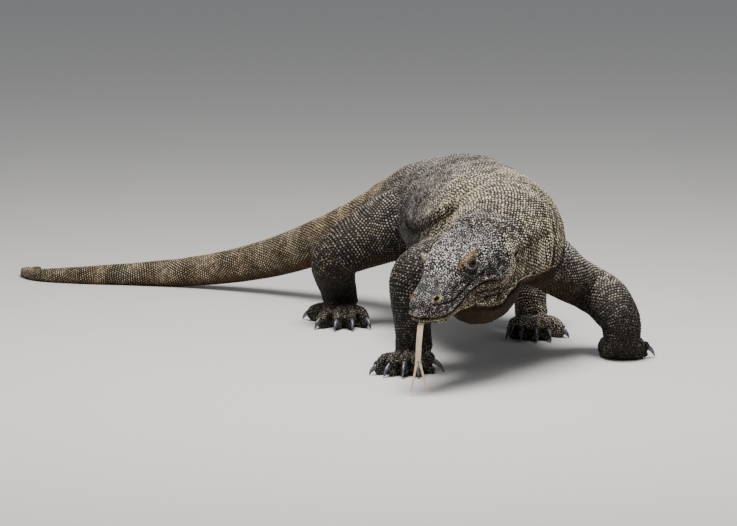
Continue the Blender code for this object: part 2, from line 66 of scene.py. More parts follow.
ARM_RIGHT = [
    (-0.020, 0.165, 0.211, 0.053, 0.057), (-0.086, 0.100, 0.202, 0.045, 0.048),
    (-0.108, 0.078, 0.184, 0.043, 0.046), (-0.112, 0.074, 0.152, 0.040, 0.042),
    (-0.110, 0.080, 0.112, 0.036, 0.037), (-0.107, 0.088, 0.075, 0.034, 0.031),
    (-0.107, 0.084, 0.040, 0.038, 0.032), (-0.119, 0.046, 0.018, 0.040, 0.020),
]
ARM_LEFT = [
    (0.133, 0.223, 0.204, 0.056, 0.057), (0.196, 0.300, 0.150, 0.044, 0.049),
    (0.228, 0.338, 0.128, 0.042, 0.047), (0.254, 0.316, 0.116, 0.043, 0.046),
    (0.277, 0.272, 0.098, 0.042, 0.044), (0.290, 0.240, 0.076, 0.039, 0.037),
    (0.293, 0.240, 0.044, 0.037, 0.031), (0.298, 0.290, 0.018, 0.040, 0.020),
]
LEG_RIGHT = [
    (-0.120, 0.666, 0.212, 0.074, 0.067), (-0.200, 0.655, 0.182, 0.063, 0.059),
    (-0.254, 0.640, 0.154, 0.052, 0.051), (-0.272, 0.644, 0.132, 0.046, 0.047),
    (-0.271, 0.664, 0.100, 0.041, 0.043), (-0.264, 0.686, 0.066, 0.036, 0.037),
    (-0.258, 0.684, 0.040, 0.038, 0.032), (-0.264, 0.610, 0.018, 0.045, 0.020),
]
LEG_LEFT = [
    (0.020, 0.680, 0.228, 0.064, 0.064), (0.056, 0.660, 0.214, 0.056, 0.058),
    (0.104, 0.632, 0.186, 0.048, 0.050), (0.116, 0.618, 0.150, 0.044, 0.046),
    (0.118, 0.600, 0.106, 0.038, 0.040), (0.120, 0.580, 0.066, 0.032, 0.034),
    (0.122, 0.560, 0.040, 0.036, 0.032), (0.130, 0.475, 0.018, 0.045, 0.020),
]
# The head has axes of its own, and its features are given in shares of its length: forward
# from the ears, outward to the left, and up.
HEAD = 0.224
HEAD_AT = Vector((0.0125, 0.0200, 0.2260)) + SKULL_BACK
FORWARD = Vector((-0.460, -0.827, -0.323))
LEFTWARD = Vector((0.876, -0.481, -0.018))
RISE = FORWARD.cross(LEFTWARD)
HEAD_AXES = np.array([FORWARD, LEFTWARD, RISE])


class Run:
    """A line through the middle of a body part, with the way along, across and up at each step."""

    def __init__(self, stations, step):
        rows = []
        last = len(stations) - 1
        for i in range(last):
            p = [np.array(stations[min(max(j, 0), last)]) for j in (i - 1, i, i + 1, i + 2)]
            count = max(1, round(math.dist(p[1][:3], p[2][:3]) / step))
            for t in np.arange(count) / count:
                rows.append(0.5 * (2 * p[1] + (p[2] - p[0]) * t
                                   + (2 * p[0] - 5 * p[1] + 4 * p[2] - p[3]) * t**2
                                   + (3 * p[1] - p[0] - 3 * p[2] + p[3]) * t**3))
        rows.append(np.array(stations[last]))
        rows = np.array(rows)
        self.at = rows[:, :3] + np.array(SKULL_BACK)
        self.half = rows[:, 3:5]
        ahead = np.gradient(self.at, axis=0)
        self.ahead = ahead / np.linalg.norm(ahead, axis=1)[:, None]
        side = np.array((self.ahead[0][1], -self.ahead[0][0], 0.02))
        sides = []
        for way in self.ahead:
            side = side - way * side.dot(way)
            side = side / np.linalg.norm(side)
            sides.append(side)
        self.side = np.array(sides)
        self.up = np.cross(self.side, self.ahead)
        steps = np.linalg.norm(np.diff(self.at, axis=0), axis=1)
        self.far = np.concatenate([[0], np.cumsum(steps)])

    def at_length(self, far):
        """The middle, the way ahead, across and up, and the half width, this far along."""
        rows = (self.at, self.ahead, self.side, self.up, self.half)
        return [Vector([np.interp(far, self.far, row[:, k]) for k in range(row.shape[1])])
                for row in rows]


RUNS = {  # the spine's begins with the head's own stations, from the snout back
    "spine": Run([(*((HEAD_AT - SKULL_BACK) + FORWARD * HEAD * share), 0.19 * HEAD, 0.17 * HEAD)
                  for share in (1.0, 0.75, 0.5, 0.25)] + SPINE, 0.012),
    "arm_right": Run(ARM_RIGHT, 0.006),
    "arm_left": Run(ARM_LEFT, 0.006),
    "leg_right": Run(LEG_RIGHT, 0.006),
    "leg_left": Run(LEG_LEFT, 0.006),
}


def lie_of(points):
    """Which run each point belongs to, how far along it lies, and its turn around it."""
    which = np.zeros(len(points), int)
    far, turn = np.zeros(len(points)), np.zeros(len(points))
    nearest = np.full(len(points), np.inf)
    for number, run in enumerate(RUNS.values()):
        bulk = run.half.mean(axis=1)
        for start in range(0, len(points), 20000):
            part = slice(start, start + 20000)
            gap = np.linalg.norm(points[part, None] - run.at[None], axis=2) / bulk
            i = gap.argmin(axis=1)
            gap = gap[np.arange(len(i)), i]
            off = points[part] - run.at[i]
            angle = np.arctan2((off * run.up[i]).sum(1), (off * run.side[i]).sum(1))
            along = run.far[i] + (off * run.ahead[i]).sum(1)
            better = gap < nearest[part]
            which[part] = np.where(better, number, which[part])
            far[part] = np.where(better, along, far[part])
            turn[part] = np.where(better, angle / math.tau + 0.5, turn[part])
            nearest[part] = np.where(better, gap, nearest[part])
    return which, far, turn


def in_head(points):
    """The points in the head's own shares: forward, left and up."""
    return (points - np.array(HEAD_AT)) @ HEAD_AXES.T / HEAD


def mottle(points, grain, seed):
    """A soft random value from about -1 to 1 at each point, in patches of the grain's size."""
    shift = Vector((seed * 7.31, seed * 3.77, seed * 5.13))
    return np.array([noise.noise(Vector(p) / grain + shift) for p in points])


def ease(value, low, high):
    """0 below low, 1 above high, and smooth between."""
    t = np.clip((value - low) / (high - low), 0, 1)
    return t * t * (3 - 2 * t)


# ---- The skin ----
# One hide over the whole body, from the snout to the tip of the tail, loose in folds at the
# neck, elbows and flanks. It is grown over all the pieces of flesh, so nothing shows where
# they part, and lies a scale's depth inside them.
FLESH = ["head", "lower_jaw", "neck", "trunk", "tail_base", "tail_middle", "tail_end", "tail_tip"]
FLESH += [f"{part}_{side}" for part in ("upper_arm", "forearm", "hand", "thigh", "shank", "foot")
          for side in ("left", "right")]
GRAIN = 0.0025
SWELL = 0.0003  # closes the thin cuts between the pieces
COAT_DEPTH = 0.0012  # how far the hide lies inside the flesh, as room for the scales
BODY_TRIANGLES = 46000  # what is left of the hide's triangles away from the head and the feet
ROUNDS_BEFORE, ROUNDS_AFTER = 16, 24  # of smoothing, before and after the thinning
HIDE_FLOOR = 0.0006  # the lowest that the hide lies
BEAD_FLOOR = 0.0022  # the lowest that a scale grows


def piece_of(name, bm):
    """A finished mesh object at the origin, from a bmesh, which is freed."""
    mesh = bpy.data.meshes.new(name)
    bm.to_mesh(mesh)
    bm.free()
    mesh.shade_smooth()
    obj = bpy.data.objects.new(name, mesh)
    bpy.context.scene.collection.objects.link(obj)
    return obj


def settle(obj):
    """Applies the object's modifiers to its mesh."""
    bpy.context.view_layer.update()
    graph = bpy.context.evaluated_depsgraph_get()
    mesh = bpy.data.meshes.new_from_object(obj.evaluated_get(graph))
    obj.modifiers.clear()
    old, obj.data = obj.data, mesh
    bpy.data.meshes.remove(old)


def numbers(items, key, width, kind=np.float64):
    """What a mesh keeps for each of its items, as an array with a row for each."""
    found = np.empty(len(items) * width, np.float32 if kind is np.float64 else kind)
    items.foreach_get(key, found)
    return found.reshape(-1, width).astype(kind)


SHRINK, REGROW = 0.62, 0.64


def relax(obj, share, rounds):
    """Smooths the mesh without shrinking it, each point by its share."""
    mesh = obj.data
    at = numbers(mesh.vertices, "co", 3)
    ends = numbers(mesh.edges, "vertices", 2, np.int32)
    count = np.bincount(ends.ravel(), minlength=len(at))[:, None]
    for k in range(2 * rounds):
        mean = np.stack([
            np.bincount(ends[:, 0], at[ends[:, 1], axis], len(at))
            + np.bincount(ends[:, 1], at[ends[:, 0], axis], len(at)) for axis in range(3)
        ], axis=1) / count
        at += (mean - at) * share[:, None] * (SHRINK if k % 2 == 0 else -REGROW)
    mesh.vertices.foreach_set("co", at.astype(np.float32).ravel())
    mesh.update()


grow = bmesh.new()
for node in [*FLESH, "eye_left", "eye_right"]:
    grow.from_mesh(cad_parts[node].data)
bmesh.ops.remove_doubles(grow, verts=grow.verts, dist=1e-5)
# The hide bridges the hollow in front of the left ankle.
ANKLE_BRIDGE, ANKLE_BRIDGE_HALF = (0.426, -0.061, 0.047), (0.030, 0.017, 0.016)
bridge = bmesh.ops.create_icosphere(grow, subdivisions=3, radius=1.0)["verts"]
bmesh.ops.scale(grow, vec=ANKLE_BRIDGE_HALF, verts=bridge)
bmesh.ops.translate(grow, vec=ANKLE_BRIDGE, verts=bridge)
grow.normal_update()
for vert in grow.verts:
    vert.co += vert.normal * SWELL
skin = piece_of("skin", grow)
remesh = skin.modifiers.new("Grow together", "REMESH")
remesh.mode = "VOXEL"
remesh.voxel_size = GRAIN
settle(skin)


def fine_places(points, tail_from, tail_to):
    """How far each point belongs to the head, to a foot and to the thin end of the tail."""
    which, far, _ = lie_of(points)
    on_head = (which == 0) * (1 - ease(far, 0.20, 0.26))
    on_foot = (1 - ease(points[:, 2], 0.050, 0.075)) * ((which > 0) | (points[:, 0] > 0.1))
    return on_head, on_foot, (which == 0) * ease(far, tail_from, tail_to)


at = numbers(skin.data.vertices, "co", 3)
on_head, on_foot, on_tail = fine_places(at, 1.30, 1.75)
calm = 1 - 0.86 * np.maximum(on_foot, on_tail)
relax(skin, np.maximum(calm - 0.35 * on_head, 0.10), ROUNDS_BEFORE)

# Where nothing fine is to show, the hide is thinned out.
thin_here = skin.vertex_groups.new(name="thin_here")
plain = 1 - np.maximum(ease(on_foot, 0.05, 0.3), ease(on_head, 0.05, 0.3))
for level in range(11):
    chosen = np.where(np.round(plain * 10).astype(int) == level)[0]
    thin_here.add([int(i) for i in chosen], level / 10, "REPLACE")
keep = int((plain < 0.5).sum() * 2)
thin = skin.modifiers.new("Thin out", "DECIMATE")
thin.vertex_group = "thin_here"
thin.vertex_group_factor = 1.0
thin.ratio = (keep + BODY_TRIANGLES) / (2 * len(skin.data.polygons))
settle(skin)
skin.vertex_groups.clear()
at = numbers(skin.data.vertices, "co", 3)
on_head, on_foot, on_tail = fine_places(at, 1.70, 2.10)
relax(skin, (1 - 0.6 * on_head) * (1 - 0.8 * on_foot) * (1 - 0.8 * on_tail), ROUNDS_AFTER)

# The finest places get a finer mesh: the eyes, nostrils, ears and the line of the mouth.
EYE_BALL = 0.0100
eyes_at = {side: sum(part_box(f"eye_{side}"), Vector()) / 2 for side in ("left", "right")}
EYE_TURN = {  # the way each eye looks, in the head's forward, left and up
    "left": (0.42, 0.88, 0.20), "right": (0.42, -0.88, 0.20),
}
NOSTRIL = (0.900, 0.112, 0.090)
EAR = (0.022, 0.303, 0.098)
MOUTH = np.array([  # from the middle of the snout back to the corner, which drops
    (1.045, 0.000, -0.032), (1.015, 0.060, -0.036), (0.981, 0.107, -0.048),
    (0.908, 0.143, -0.066), (0.784, 0.154, -0.082), (0.700, 0.175, -0.066),
    (0.640, 0.192, -0.040), (0.587, 0.209, -0.014), (0.513, 0.236, 0.008),
    (0.430, 0.258, 0.012), (0.350, 0.272, 0.002), (0.270, 0.285, -0.024), (0.220, 0.290, -0.060),
])


def nostril_gap(shares):
    """The distance from the nostril, whose opening is long from front to back."""
    return np.linalg.norm((shares - NOSTRIL) * (0.50, 1, 1.20), axis=1)


def ear_gap(shares):
    """The distance from the ear, whose opening is an upright slit."""
    return np.linalg.norm((shares - EAR) * (1.7, 1, 0.55), axis=1)


def lid_edge(cosine, sine):
    """How wide the lids open, in degrees from the eye's own direction, all the way round."""
    return 53 + 8 * cosine**2 - 5 * np.maximum(sine, 0) ** 2


def along_line(points, line):
    """The distance of each point from a bent line, how far along the line, and the offset."""
    best = np.full(len(points), np.inf)
    share = np.zeros(len(points))
    offset = np.zeros((len(points), 3))
    for i, (a, b) in enumerate(zip(line, line[1:])):
        t = np.clip(((points - a) @ (b - a)) / ((b - a) @ (b - a)), 0, 1)
        off = points - (a + t[:, None] * (b - a))
        gap = np.linalg.norm(off, axis=1)
        near = gap < best
        best = np.where(near, gap, best)
        share = np.where(near, (i + t) / (len(line) - 1), share)
        offset[near] = off[near]
    return best, share, offset


def bump(distance, width):
    """A round hill: 1 in the middle, 0 from about twice the width."""
    return np.exp(-(distance / width) ** 2)


def near_line(points, line, width):
    """1 on a bent line and fading away from it."""
    return bump(along_line(points, line)[0], width)


def near_spot(shares, spot, stretch, reach):
    """1 at a spot of the head and fading away from it, faster the more an axis is stretched."""
    return bump(np.linalg.norm((shares - spot) * stretch, axis=1), reach)


def both_sides(shares):
    """Head shares with the right side laid over the left."""
    return shares * np.array((1, 0, 1)) + np.abs(shares[:, 1:2]) * np.array((0, 1, 0))


def refine(obj, wanted):
    """Splits the edges at the wanted points, and gives all the points and their head shares."""
    bm = bmesh.new()
    bm.from_mesh(obj.data)
    bm.verts.ensure_lookup_table()
    chosen = {bm.verts[i] for i in np.where(wanted)[0]}
    edges = [edge for edge in bm.edges if not chosen.isdisjoint(edge.verts)]
    bmesh.ops.subdivide_edges(bm, edges=edges, cuts=1, use_grid_fill=True)
    bm.to_mesh(obj.data)
    bm.free()
    at = numbers(obj.data.vertices, "co", 3)
    return at, both_sides(in_head(at))


at = numbers(skin.data.vertices, "co", 3)
head = both_sides(in_head(at))
eye_share = in_head(np.array([eyes_at["left"]]))[0]
for reach, band in ((0.110, 0.030), (0.080, 0.0)):  # the second time, only eyes and nostrils
    near = np.linalg.norm(head - eye_share, axis=1) < reach
    near |= nostril_gap(head) < 0.045
    if band:
        near |= ear_gap(head) < 0.050
        near |= along_line(head, MOUTH)[0] < band
    at, head = refine(skin, near)

# Folds and swellings of the loose hide: middle, the way across the folds, their spacing, depth
# and reach, all in metres.
FOLDS = [
    ((-0.104, 0.085, 0.186), (0.35, 0.30, 0.89), 0.017, 0.0030, 0.040),  # right elbow
    ((-0.066, 0.110, 0.212), (0.75, 0.55, 0.30), 0.022, 0.0030, 0.050),  # right armpit
    ((-0.107, 0.086, 0.058), (0.00, 0.00, 1.00), 0.009, 0.0012, 0.026),  # right wrist
    ((0.222, 0.332, 0.128), (0.85, 0.20, -0.45), 0.018, 0.0028, 0.042),  # left elbow
    ((0.150, 0.240, 0.190), (0.70, 0.60, -0.35), 0.024, 0.0030, 0.055),  # left shoulder
    ((0.292, 0.242, 0.062), (0.00, 0.00, 1.00), 0.009, 0.0012, 0.026),  # left wrist
    ((-0.258, 0.640, 0.148), (-0.60, 0.00, -0.80), 0.018, 0.0026, 0.040),  # right knee
    ((-0.262, 0.688, 0.050), (0.00, 0.00, 1.00), 0.010, 0.0012, 0.028),  # right ankle
    ((0.108, 0.626, 0.165), (0.20, -0.20, -0.95), 0.018, 0.0026, 0.040),  # left knee
    ((0.121, 0.570, 0.050), (0.00, 0.00, 1.00), 0.010, 0.0006, 0.028),  # left ankle
    ((-0.110, 0.600, 0.215), (-0.85, -0.50, 0.10), 0.026, 0.0030, 0.065),  # right groin
    ((-0.090, 0.180, 0.215), (-0.30, 0.95, 0.00), 0.030, 0.0030, 0.060),  # flank behind the arm
    ((0.130, 0.320, 0.200), (-0.20, 0.97, 0.00), 0.030, 0.0030, 0.065),  # and on the left
    ((0.036, 0.060, 0.262), (0.25, 0.95, 0.10), 0.034, 0.0034, 0.090),  # nape and neck
    ((0.100, 0.080, 0.225), (0.20, 0.85, -0.50), 0.026, 0.0032, 0.060),  # left side of neck
    ((-0.020, 0.090, 0.205), (-0.20, 0.85, -0.50), 0.026, 0.0032, 0.060),  # right side of neck
    ((0.022, 0.020, 0.112), (0.90, 0.35, 0.20), 0.010, 0.0010, 0.060),  # throat pouch
    ((0.060, 0.030, 0.150), (0.30, 0.10, 0.95), 0.012, 0.0014, 0.050),  # side of the pouch
    ((-0.155, 0.800, 0.220), (-0.45, 0.80, -0.40), 0.030, 0.0016, 0.080),  # root of the tail
    ((-0.080, 0.270, 0.245), (0.35, -0.10, -0.93), 0.030, 0.0036, 0.055),  # right shoulder blade
]
# The edge of the throat, where the jaw's hide turns under: head shares, chin to shoulder.
THROAT_EDGE = np.array([
    (0.94, 0.115, -0.100), (0.75, 0.150, -0.134), (0.50, 0.184, -0.150), (0.36, 0.210, -0.214),
    (0.23, 0.255, -0.268), (0.145, 0.274, -0.285), (0.047, 0.276, -0.249), (-0.20, 0.250, -0.262),
    (-0.334, 0.265, -0.282), (-0.457, 0.263, -0.324), (-0.65, 0.256, -0.390),
])
BROW = np.array([
    (0.540, 0.160, 0.208), (0.486, 0.172, 0.236), (0.421, 0.178, 0.249), (0.350, 0.182, 0.251),
    (0.285, 0.196, 0.243),
])
TEMPLE = np.array([(0.285, 0.196, 0.243), (0.090, 0.190, 0.268), (-0.080, 0.150, 0.280)])
NAPE_FOLD = np.array([  # where the neck's loose hide meets the back of the skull, to the ear
    (0.020, 0.000, 0.316), (-0.060, 0.053, 0.312), (-0.101, 0.093, 0.303),
    (-0.112, 0.136, 0.289), (-0.093, 0.179, 0.272), (-0.048, 0.224, 0.243),
    (-0.034, 0.257, 0.208), (-0.015, 0.276, 0.176), (0.020, 0.299, 0.136), (0.024, 0.306, 0.095),
    (0.005, 0.312, 0.030), (0.000, 0.312, -0.050),
])
# The loose hide behind the jaw hangs in a hollow between two folds and the shoulder.
NECK_FOLD = np.array([(-0.090, 0.308, 0.035), (-0.257, 0.321, 0.010), (-0.389, 0.328, 0.004),
                      (-0.545, 0.322, -0.016), (-0.711, 0.317, -0.059)])
SHOULDER_RIDGE = np.array([(-0.693, 0.323, -0.078), (-0.659, 0.334, -0.155),
                           (-0.634, 0.329, -0.238), (-0.643, 0.290, -0.341)])
SHOULDER_FOLD = np.array([(-0.831, 0.295, -0.052), (-0.802, 0.317, -0.131),
                          (-0.761, 0.327, -0.205), (-0.734, 0.319, -0.287),
                          (-0.748, 0.277, -0.394)])
# The crease behind the right shoulder blade, over which the flank hangs, in metres.
BLADE_FOLD = np.array([
    (-0.124, 0.449, 0.235), (-0.113, 0.392, 0.229), (-0.101, 0.340, 0.238),
    (-0.089, 0.301, 0.248), (-0.070, 0.258, 0.264), (-0.050, 0.231, 0.281), (-0.031, 0.203, 0.298),
]) + np.array(SKULL_BACK)
# Creases of the face: the line, its depth and its width.
CREASES = [
    (np.array([(0.957, 0.096, 0.058), (0.863, 0.155, 0.034), (0.721, 0.176, 0.013),  # upper lip
               (0.628, 0.196, 0.034), (0.541, 0.223, 0.068), (0.460, 0.250, 0.092),
               (0.354, 0.269, 0.088)]), 0.0028, 0.0085),
    (np.array([(0.508, 0.237, -0.035), (0.400, 0.260, -0.067), (0.257, 0.263, -0.119),
               (0.137, 0.260, -0.159)]), 0.0036, 0.0085),
    (np.array([(0.462, 0.229, -0.110), (0.311, 0.226, -0.166), (0.224, 0.254, -0.188),
               (0.148, 0.268, -0.209)]), 0.0036, 0.0085),
    (np.array([(0.620, 0.196, 0.150), (0.560, 0.215, 0.130), (0.480, 0.245, 0.132)]),
     0.0022, 0.0080),
    (np.array([(0.340, 0.272, 0.050), (0.240, 0.290, 0.010), (0.170, 0.293, -0.070)]),
     0.0020, 0.0085),
    (np.array([(0.720, 0.166, 0.080), (0.610, 0.188, 0.100), (0.520, 0.225, 0.108)]),
     0.0014, 0.0070),
]


at = numbers(skin.data.vertices, "co", 3)
normal = numbers(skin.data.vertex_normals, "vector", 3)
head = both_sides(in_head(at))
which, far, _ = lie_of(at)
on_head = (which == 0) * (1 - ease(far, 0.21, 0.25))
on_toes = 1 - ease(at[:, 2], 0.045, 0.070)
lift = np.full(len(at), -COAT_DEPTH) + 0.0005 * np.maximum(on_toes, on_head)
slack = (1 - on_head) * (1 - on_toes) * (1 - (which == 0) * ease(far, 1.2, 1.6))
lift += slack * (0.0016 * mottle(at, 0.050, 1) + 0.0008 * mottle(at, 0.022, 2))
lift += on_head * 0.0007 * mottle(at, 0.012, 3)
for place, way, spacing, depth, reach in FOLDS:
    off = at - (np.array(place) + np.array(SKULL_BACK))
    near = bump(np.linalg.norm(off, axis=1), reach)
    here = near > 0.02
    wander = np.zeros(len(at))
    wander[here] = mottle(at[here], 0.035, 5) * spacing * 0.9
    phase = (off @ np.array(way) + wander) / spacing
    groove = (0.5 + 0.5 * np.cos(math.tau * phase)) ** 5
    lift += near * depth * (0.35 - groove)

# The head: brow ridge, casque, hollows of the cheek, lips, creases, nostrils and ears, with the
# folds of the neck and the shoulders.
near_head = (which == 0) * (1 - ease(far, 0.30, 0.36))
lift += 0.0044 * near_line(head, BROW, 0.030) * on_head
lift += 0.0028 * near_line(head, TEMPLE, 0.036) * near_head
for spot, stretch, depth, reach in (
        ((0.640, 0.190, 0.120), (0.7, 1, 1), -0.0026, 0.060),  # before the eye
        ((0.130, 0.285, 0.165), (0.8, 1, 1), -0.0026, 0.070),  # behind the eye
        ((0.200, 0.290, 0.000), (0.6, 1, 1), 0.0026, 0.080),  # the jowl
        ((0.700, 0.000, 0.190), (0.4, 1, 1), -0.0022, 0.070),  # the middle of the snout
        ((0.960, 0.080, 0.070), (1, 1, 1), 0.0020, 0.070)):  # the snout's tip
    lift += depth * near_spot(head, spot, stretch, reach) * near_head
gap, _, offset = along_line(head, MOUTH)
under = offset[:, 2]
lift += on_head * (0.0028 * bump(under - 0.030, 0.022) * (gap < 0.12)
                   + 0.0018 * bump(under + 0.026, 0.018) * (gap < 0.10)
                   - 0.0056 * bump(gap, 0.0090))
gap, _, offset = along_line(head, THROAT_EDGE)
lift += 0.0042 * bump(gap, 0.024) - 0.0056 * bump(gap - 0.030, 0.024) * (offset[:, 2] < -0.006)
for line, depth, width in CREASES:
    gap = along_line(head, line)[0]
    lift += depth * (0.55 * bump(gap - 0.026, 0.014) - bump(gap, width)) * on_head
gap, _, offset = along_line(head, NAPE_FOLD)
front = offset[:, 0] > 0
lift += near_head * (0.0042 * bump(gap - 0.036, 0.026) * front - 0.0052 * bump(gap, 0.0120)
                     + 0.0040 * bump(gap - 0.062, 0.040) * (1 - front))
gap, _, offset = along_line(at, BLADE_FOLD)
lift += (which == 0) * (0.0060 * bump(gap - 0.018, 0.012) * (offset[:, 2] > 0)
                        - 0.0075 * bump(gap, 0.0070))
on_throat = (which == 0) * (1 - ease(far, 0.55, 0.65))
gap, _, offset = along_line(head, NECK_FOLD)
lift += on_throat * (0.0032 * bump(gap - 0.060, 0.040) * (offset[:, 2] > 0)
                     - 0.0044 * bump(gap, 0.0150))
lift -= on_throat * 0.0036 * near_spot(head, (-0.400, 0.325, -0.125), (0.55, 1, 1), 0.100)
lift += on_throat * 0.0046 * near_line(head, SHOULDER_RIDGE, 0.030)
lift -= on_throat * 0.0060 * near_line(head, SHOULDER_FOLD, 0.020)
gap = nostril_gap(head)
lift += 0.0012 * bump(gap - 0.028, 0.010) - 0.0064 * bump(gap, 0.0125)
gap = ear_gap(head)
lift += 0.0012 * bump(gap - 0.036, 0.014) - 0.0060 * bump(gap, 0.0180)

# The toes stand apart, each with a ridge of bone and creases across it.
for foot in ("hand_left", "hand_right", "foot_left", "foot_right"):
    found = []
    for number in range(1, 6):
        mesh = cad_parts[f"claw_{foot}_{number}"].data
        horn = numbers(mesh.vertices, "co", 3)
        tip = horn[horn[:, 2].argmin()]
        reach = np.linalg.norm(horn - tip, axis=1)
        root = horn[reach > 0.85 * reach.max()].mean(axis=0)
        way = (tip - root) * (1, 1, 0)
        found.append((root, way / np.linalg.norm(way)))
    for root, way in found:
        off = at - root
        along = off @ way
        across = np.linalg.norm((off - along[:, None] * way) * (1, 1, 0.35), axis=1)
        near = bump(across, 0.0085) * ease(along, -0.060, -0.020) * (np.abs(off[:, 2]) < 0.04)
        lift += near * (0.0018 - 0.0009 * (0.5 + 0.5 * np.cos(math.tau * along / 0.0075)) ** 3)
    for (root, way), (other, turned) in zip(found, found[1:]):
        middle, way = (root + other) / 2, (way + turned) / np.linalg.norm(way + turned)
        off = at - middle
        along = off @ way
        across = np.linalg.norm((off - along[:, None] * way) * (1, 1, 0), axis=1)
        lift -= 0.0060 * bump(across, 0.0048) * ease(along, -0.042, -0.006) * (at[:, 2] < 0.06)
at += normal * lift[:, None]

# The lids: the hide closes on the ball in an almond, and lies behind it within the opening.
# Their shape is in degrees past the edge and in millimetres from the middle of the ball.
LID_SHAPE = ((-60, -5, 0, 6, 13, 20, 26, 34, 46),
             (7.6, 8.6, 10.3, 11.3, 11.3, 10.4, 11.0, 10.7, 10.4))
lids = {}
for side, ball in eyes_at.items():
    gaze = Vector(EYE_TURN[side]).normalized()
    look = np.array(FORWARD * gaze.x + LEFTWARD * gaze.y + RISE * gaze.z)
    fore = np.array(FORWARD) - look * np.dot(np.array(FORWARD), look)
    fore /= np.linalg.norm(fore)
    above = np.cross(look, fore) * (1 if side == "right" else -1)
    above *= np.sign(above @ np.array(RISE))
    lids[side] = (ball, Vector(look), Vector(fore), Vector(above))
    off = at - np.array(ball)
    size = np.linalg.norm(off, axis=1)
    ahead = off @ look / size
    angle = np.degrees(np.arccos(np.clip(ahead, -1, 1)))
    x, y = off @ fore, off @ above
    turn_in = np.arctan2(y, x)
    past = angle - lid_edge(np.cos(turn_in), np.sin(turn_in))
    lid = np.interp(past, *LID_SHAPE) / 1000
    lid += 0.0012 * bump(past - 12, 10) * np.maximum(np.sin(turn_in), 0)
    hold = (1 - ease(past, 26, 46)) * (size < 0.020)
    held = size * (1 - hold) + lid * hold
    at = np.array(ball) + off * (held / size)[:, None]
at[:, 2] = np.maximum(at[:, 2], HIDE_FLOOR)
skin.data.vertices.foreach_set("co", at.astype(np.float32).ravel())
skin.data.update()

CASQUE = (0.060, 0.080, 0.280), (0.8, 0.6, 1)  # the flat top of the skull, and its stretch


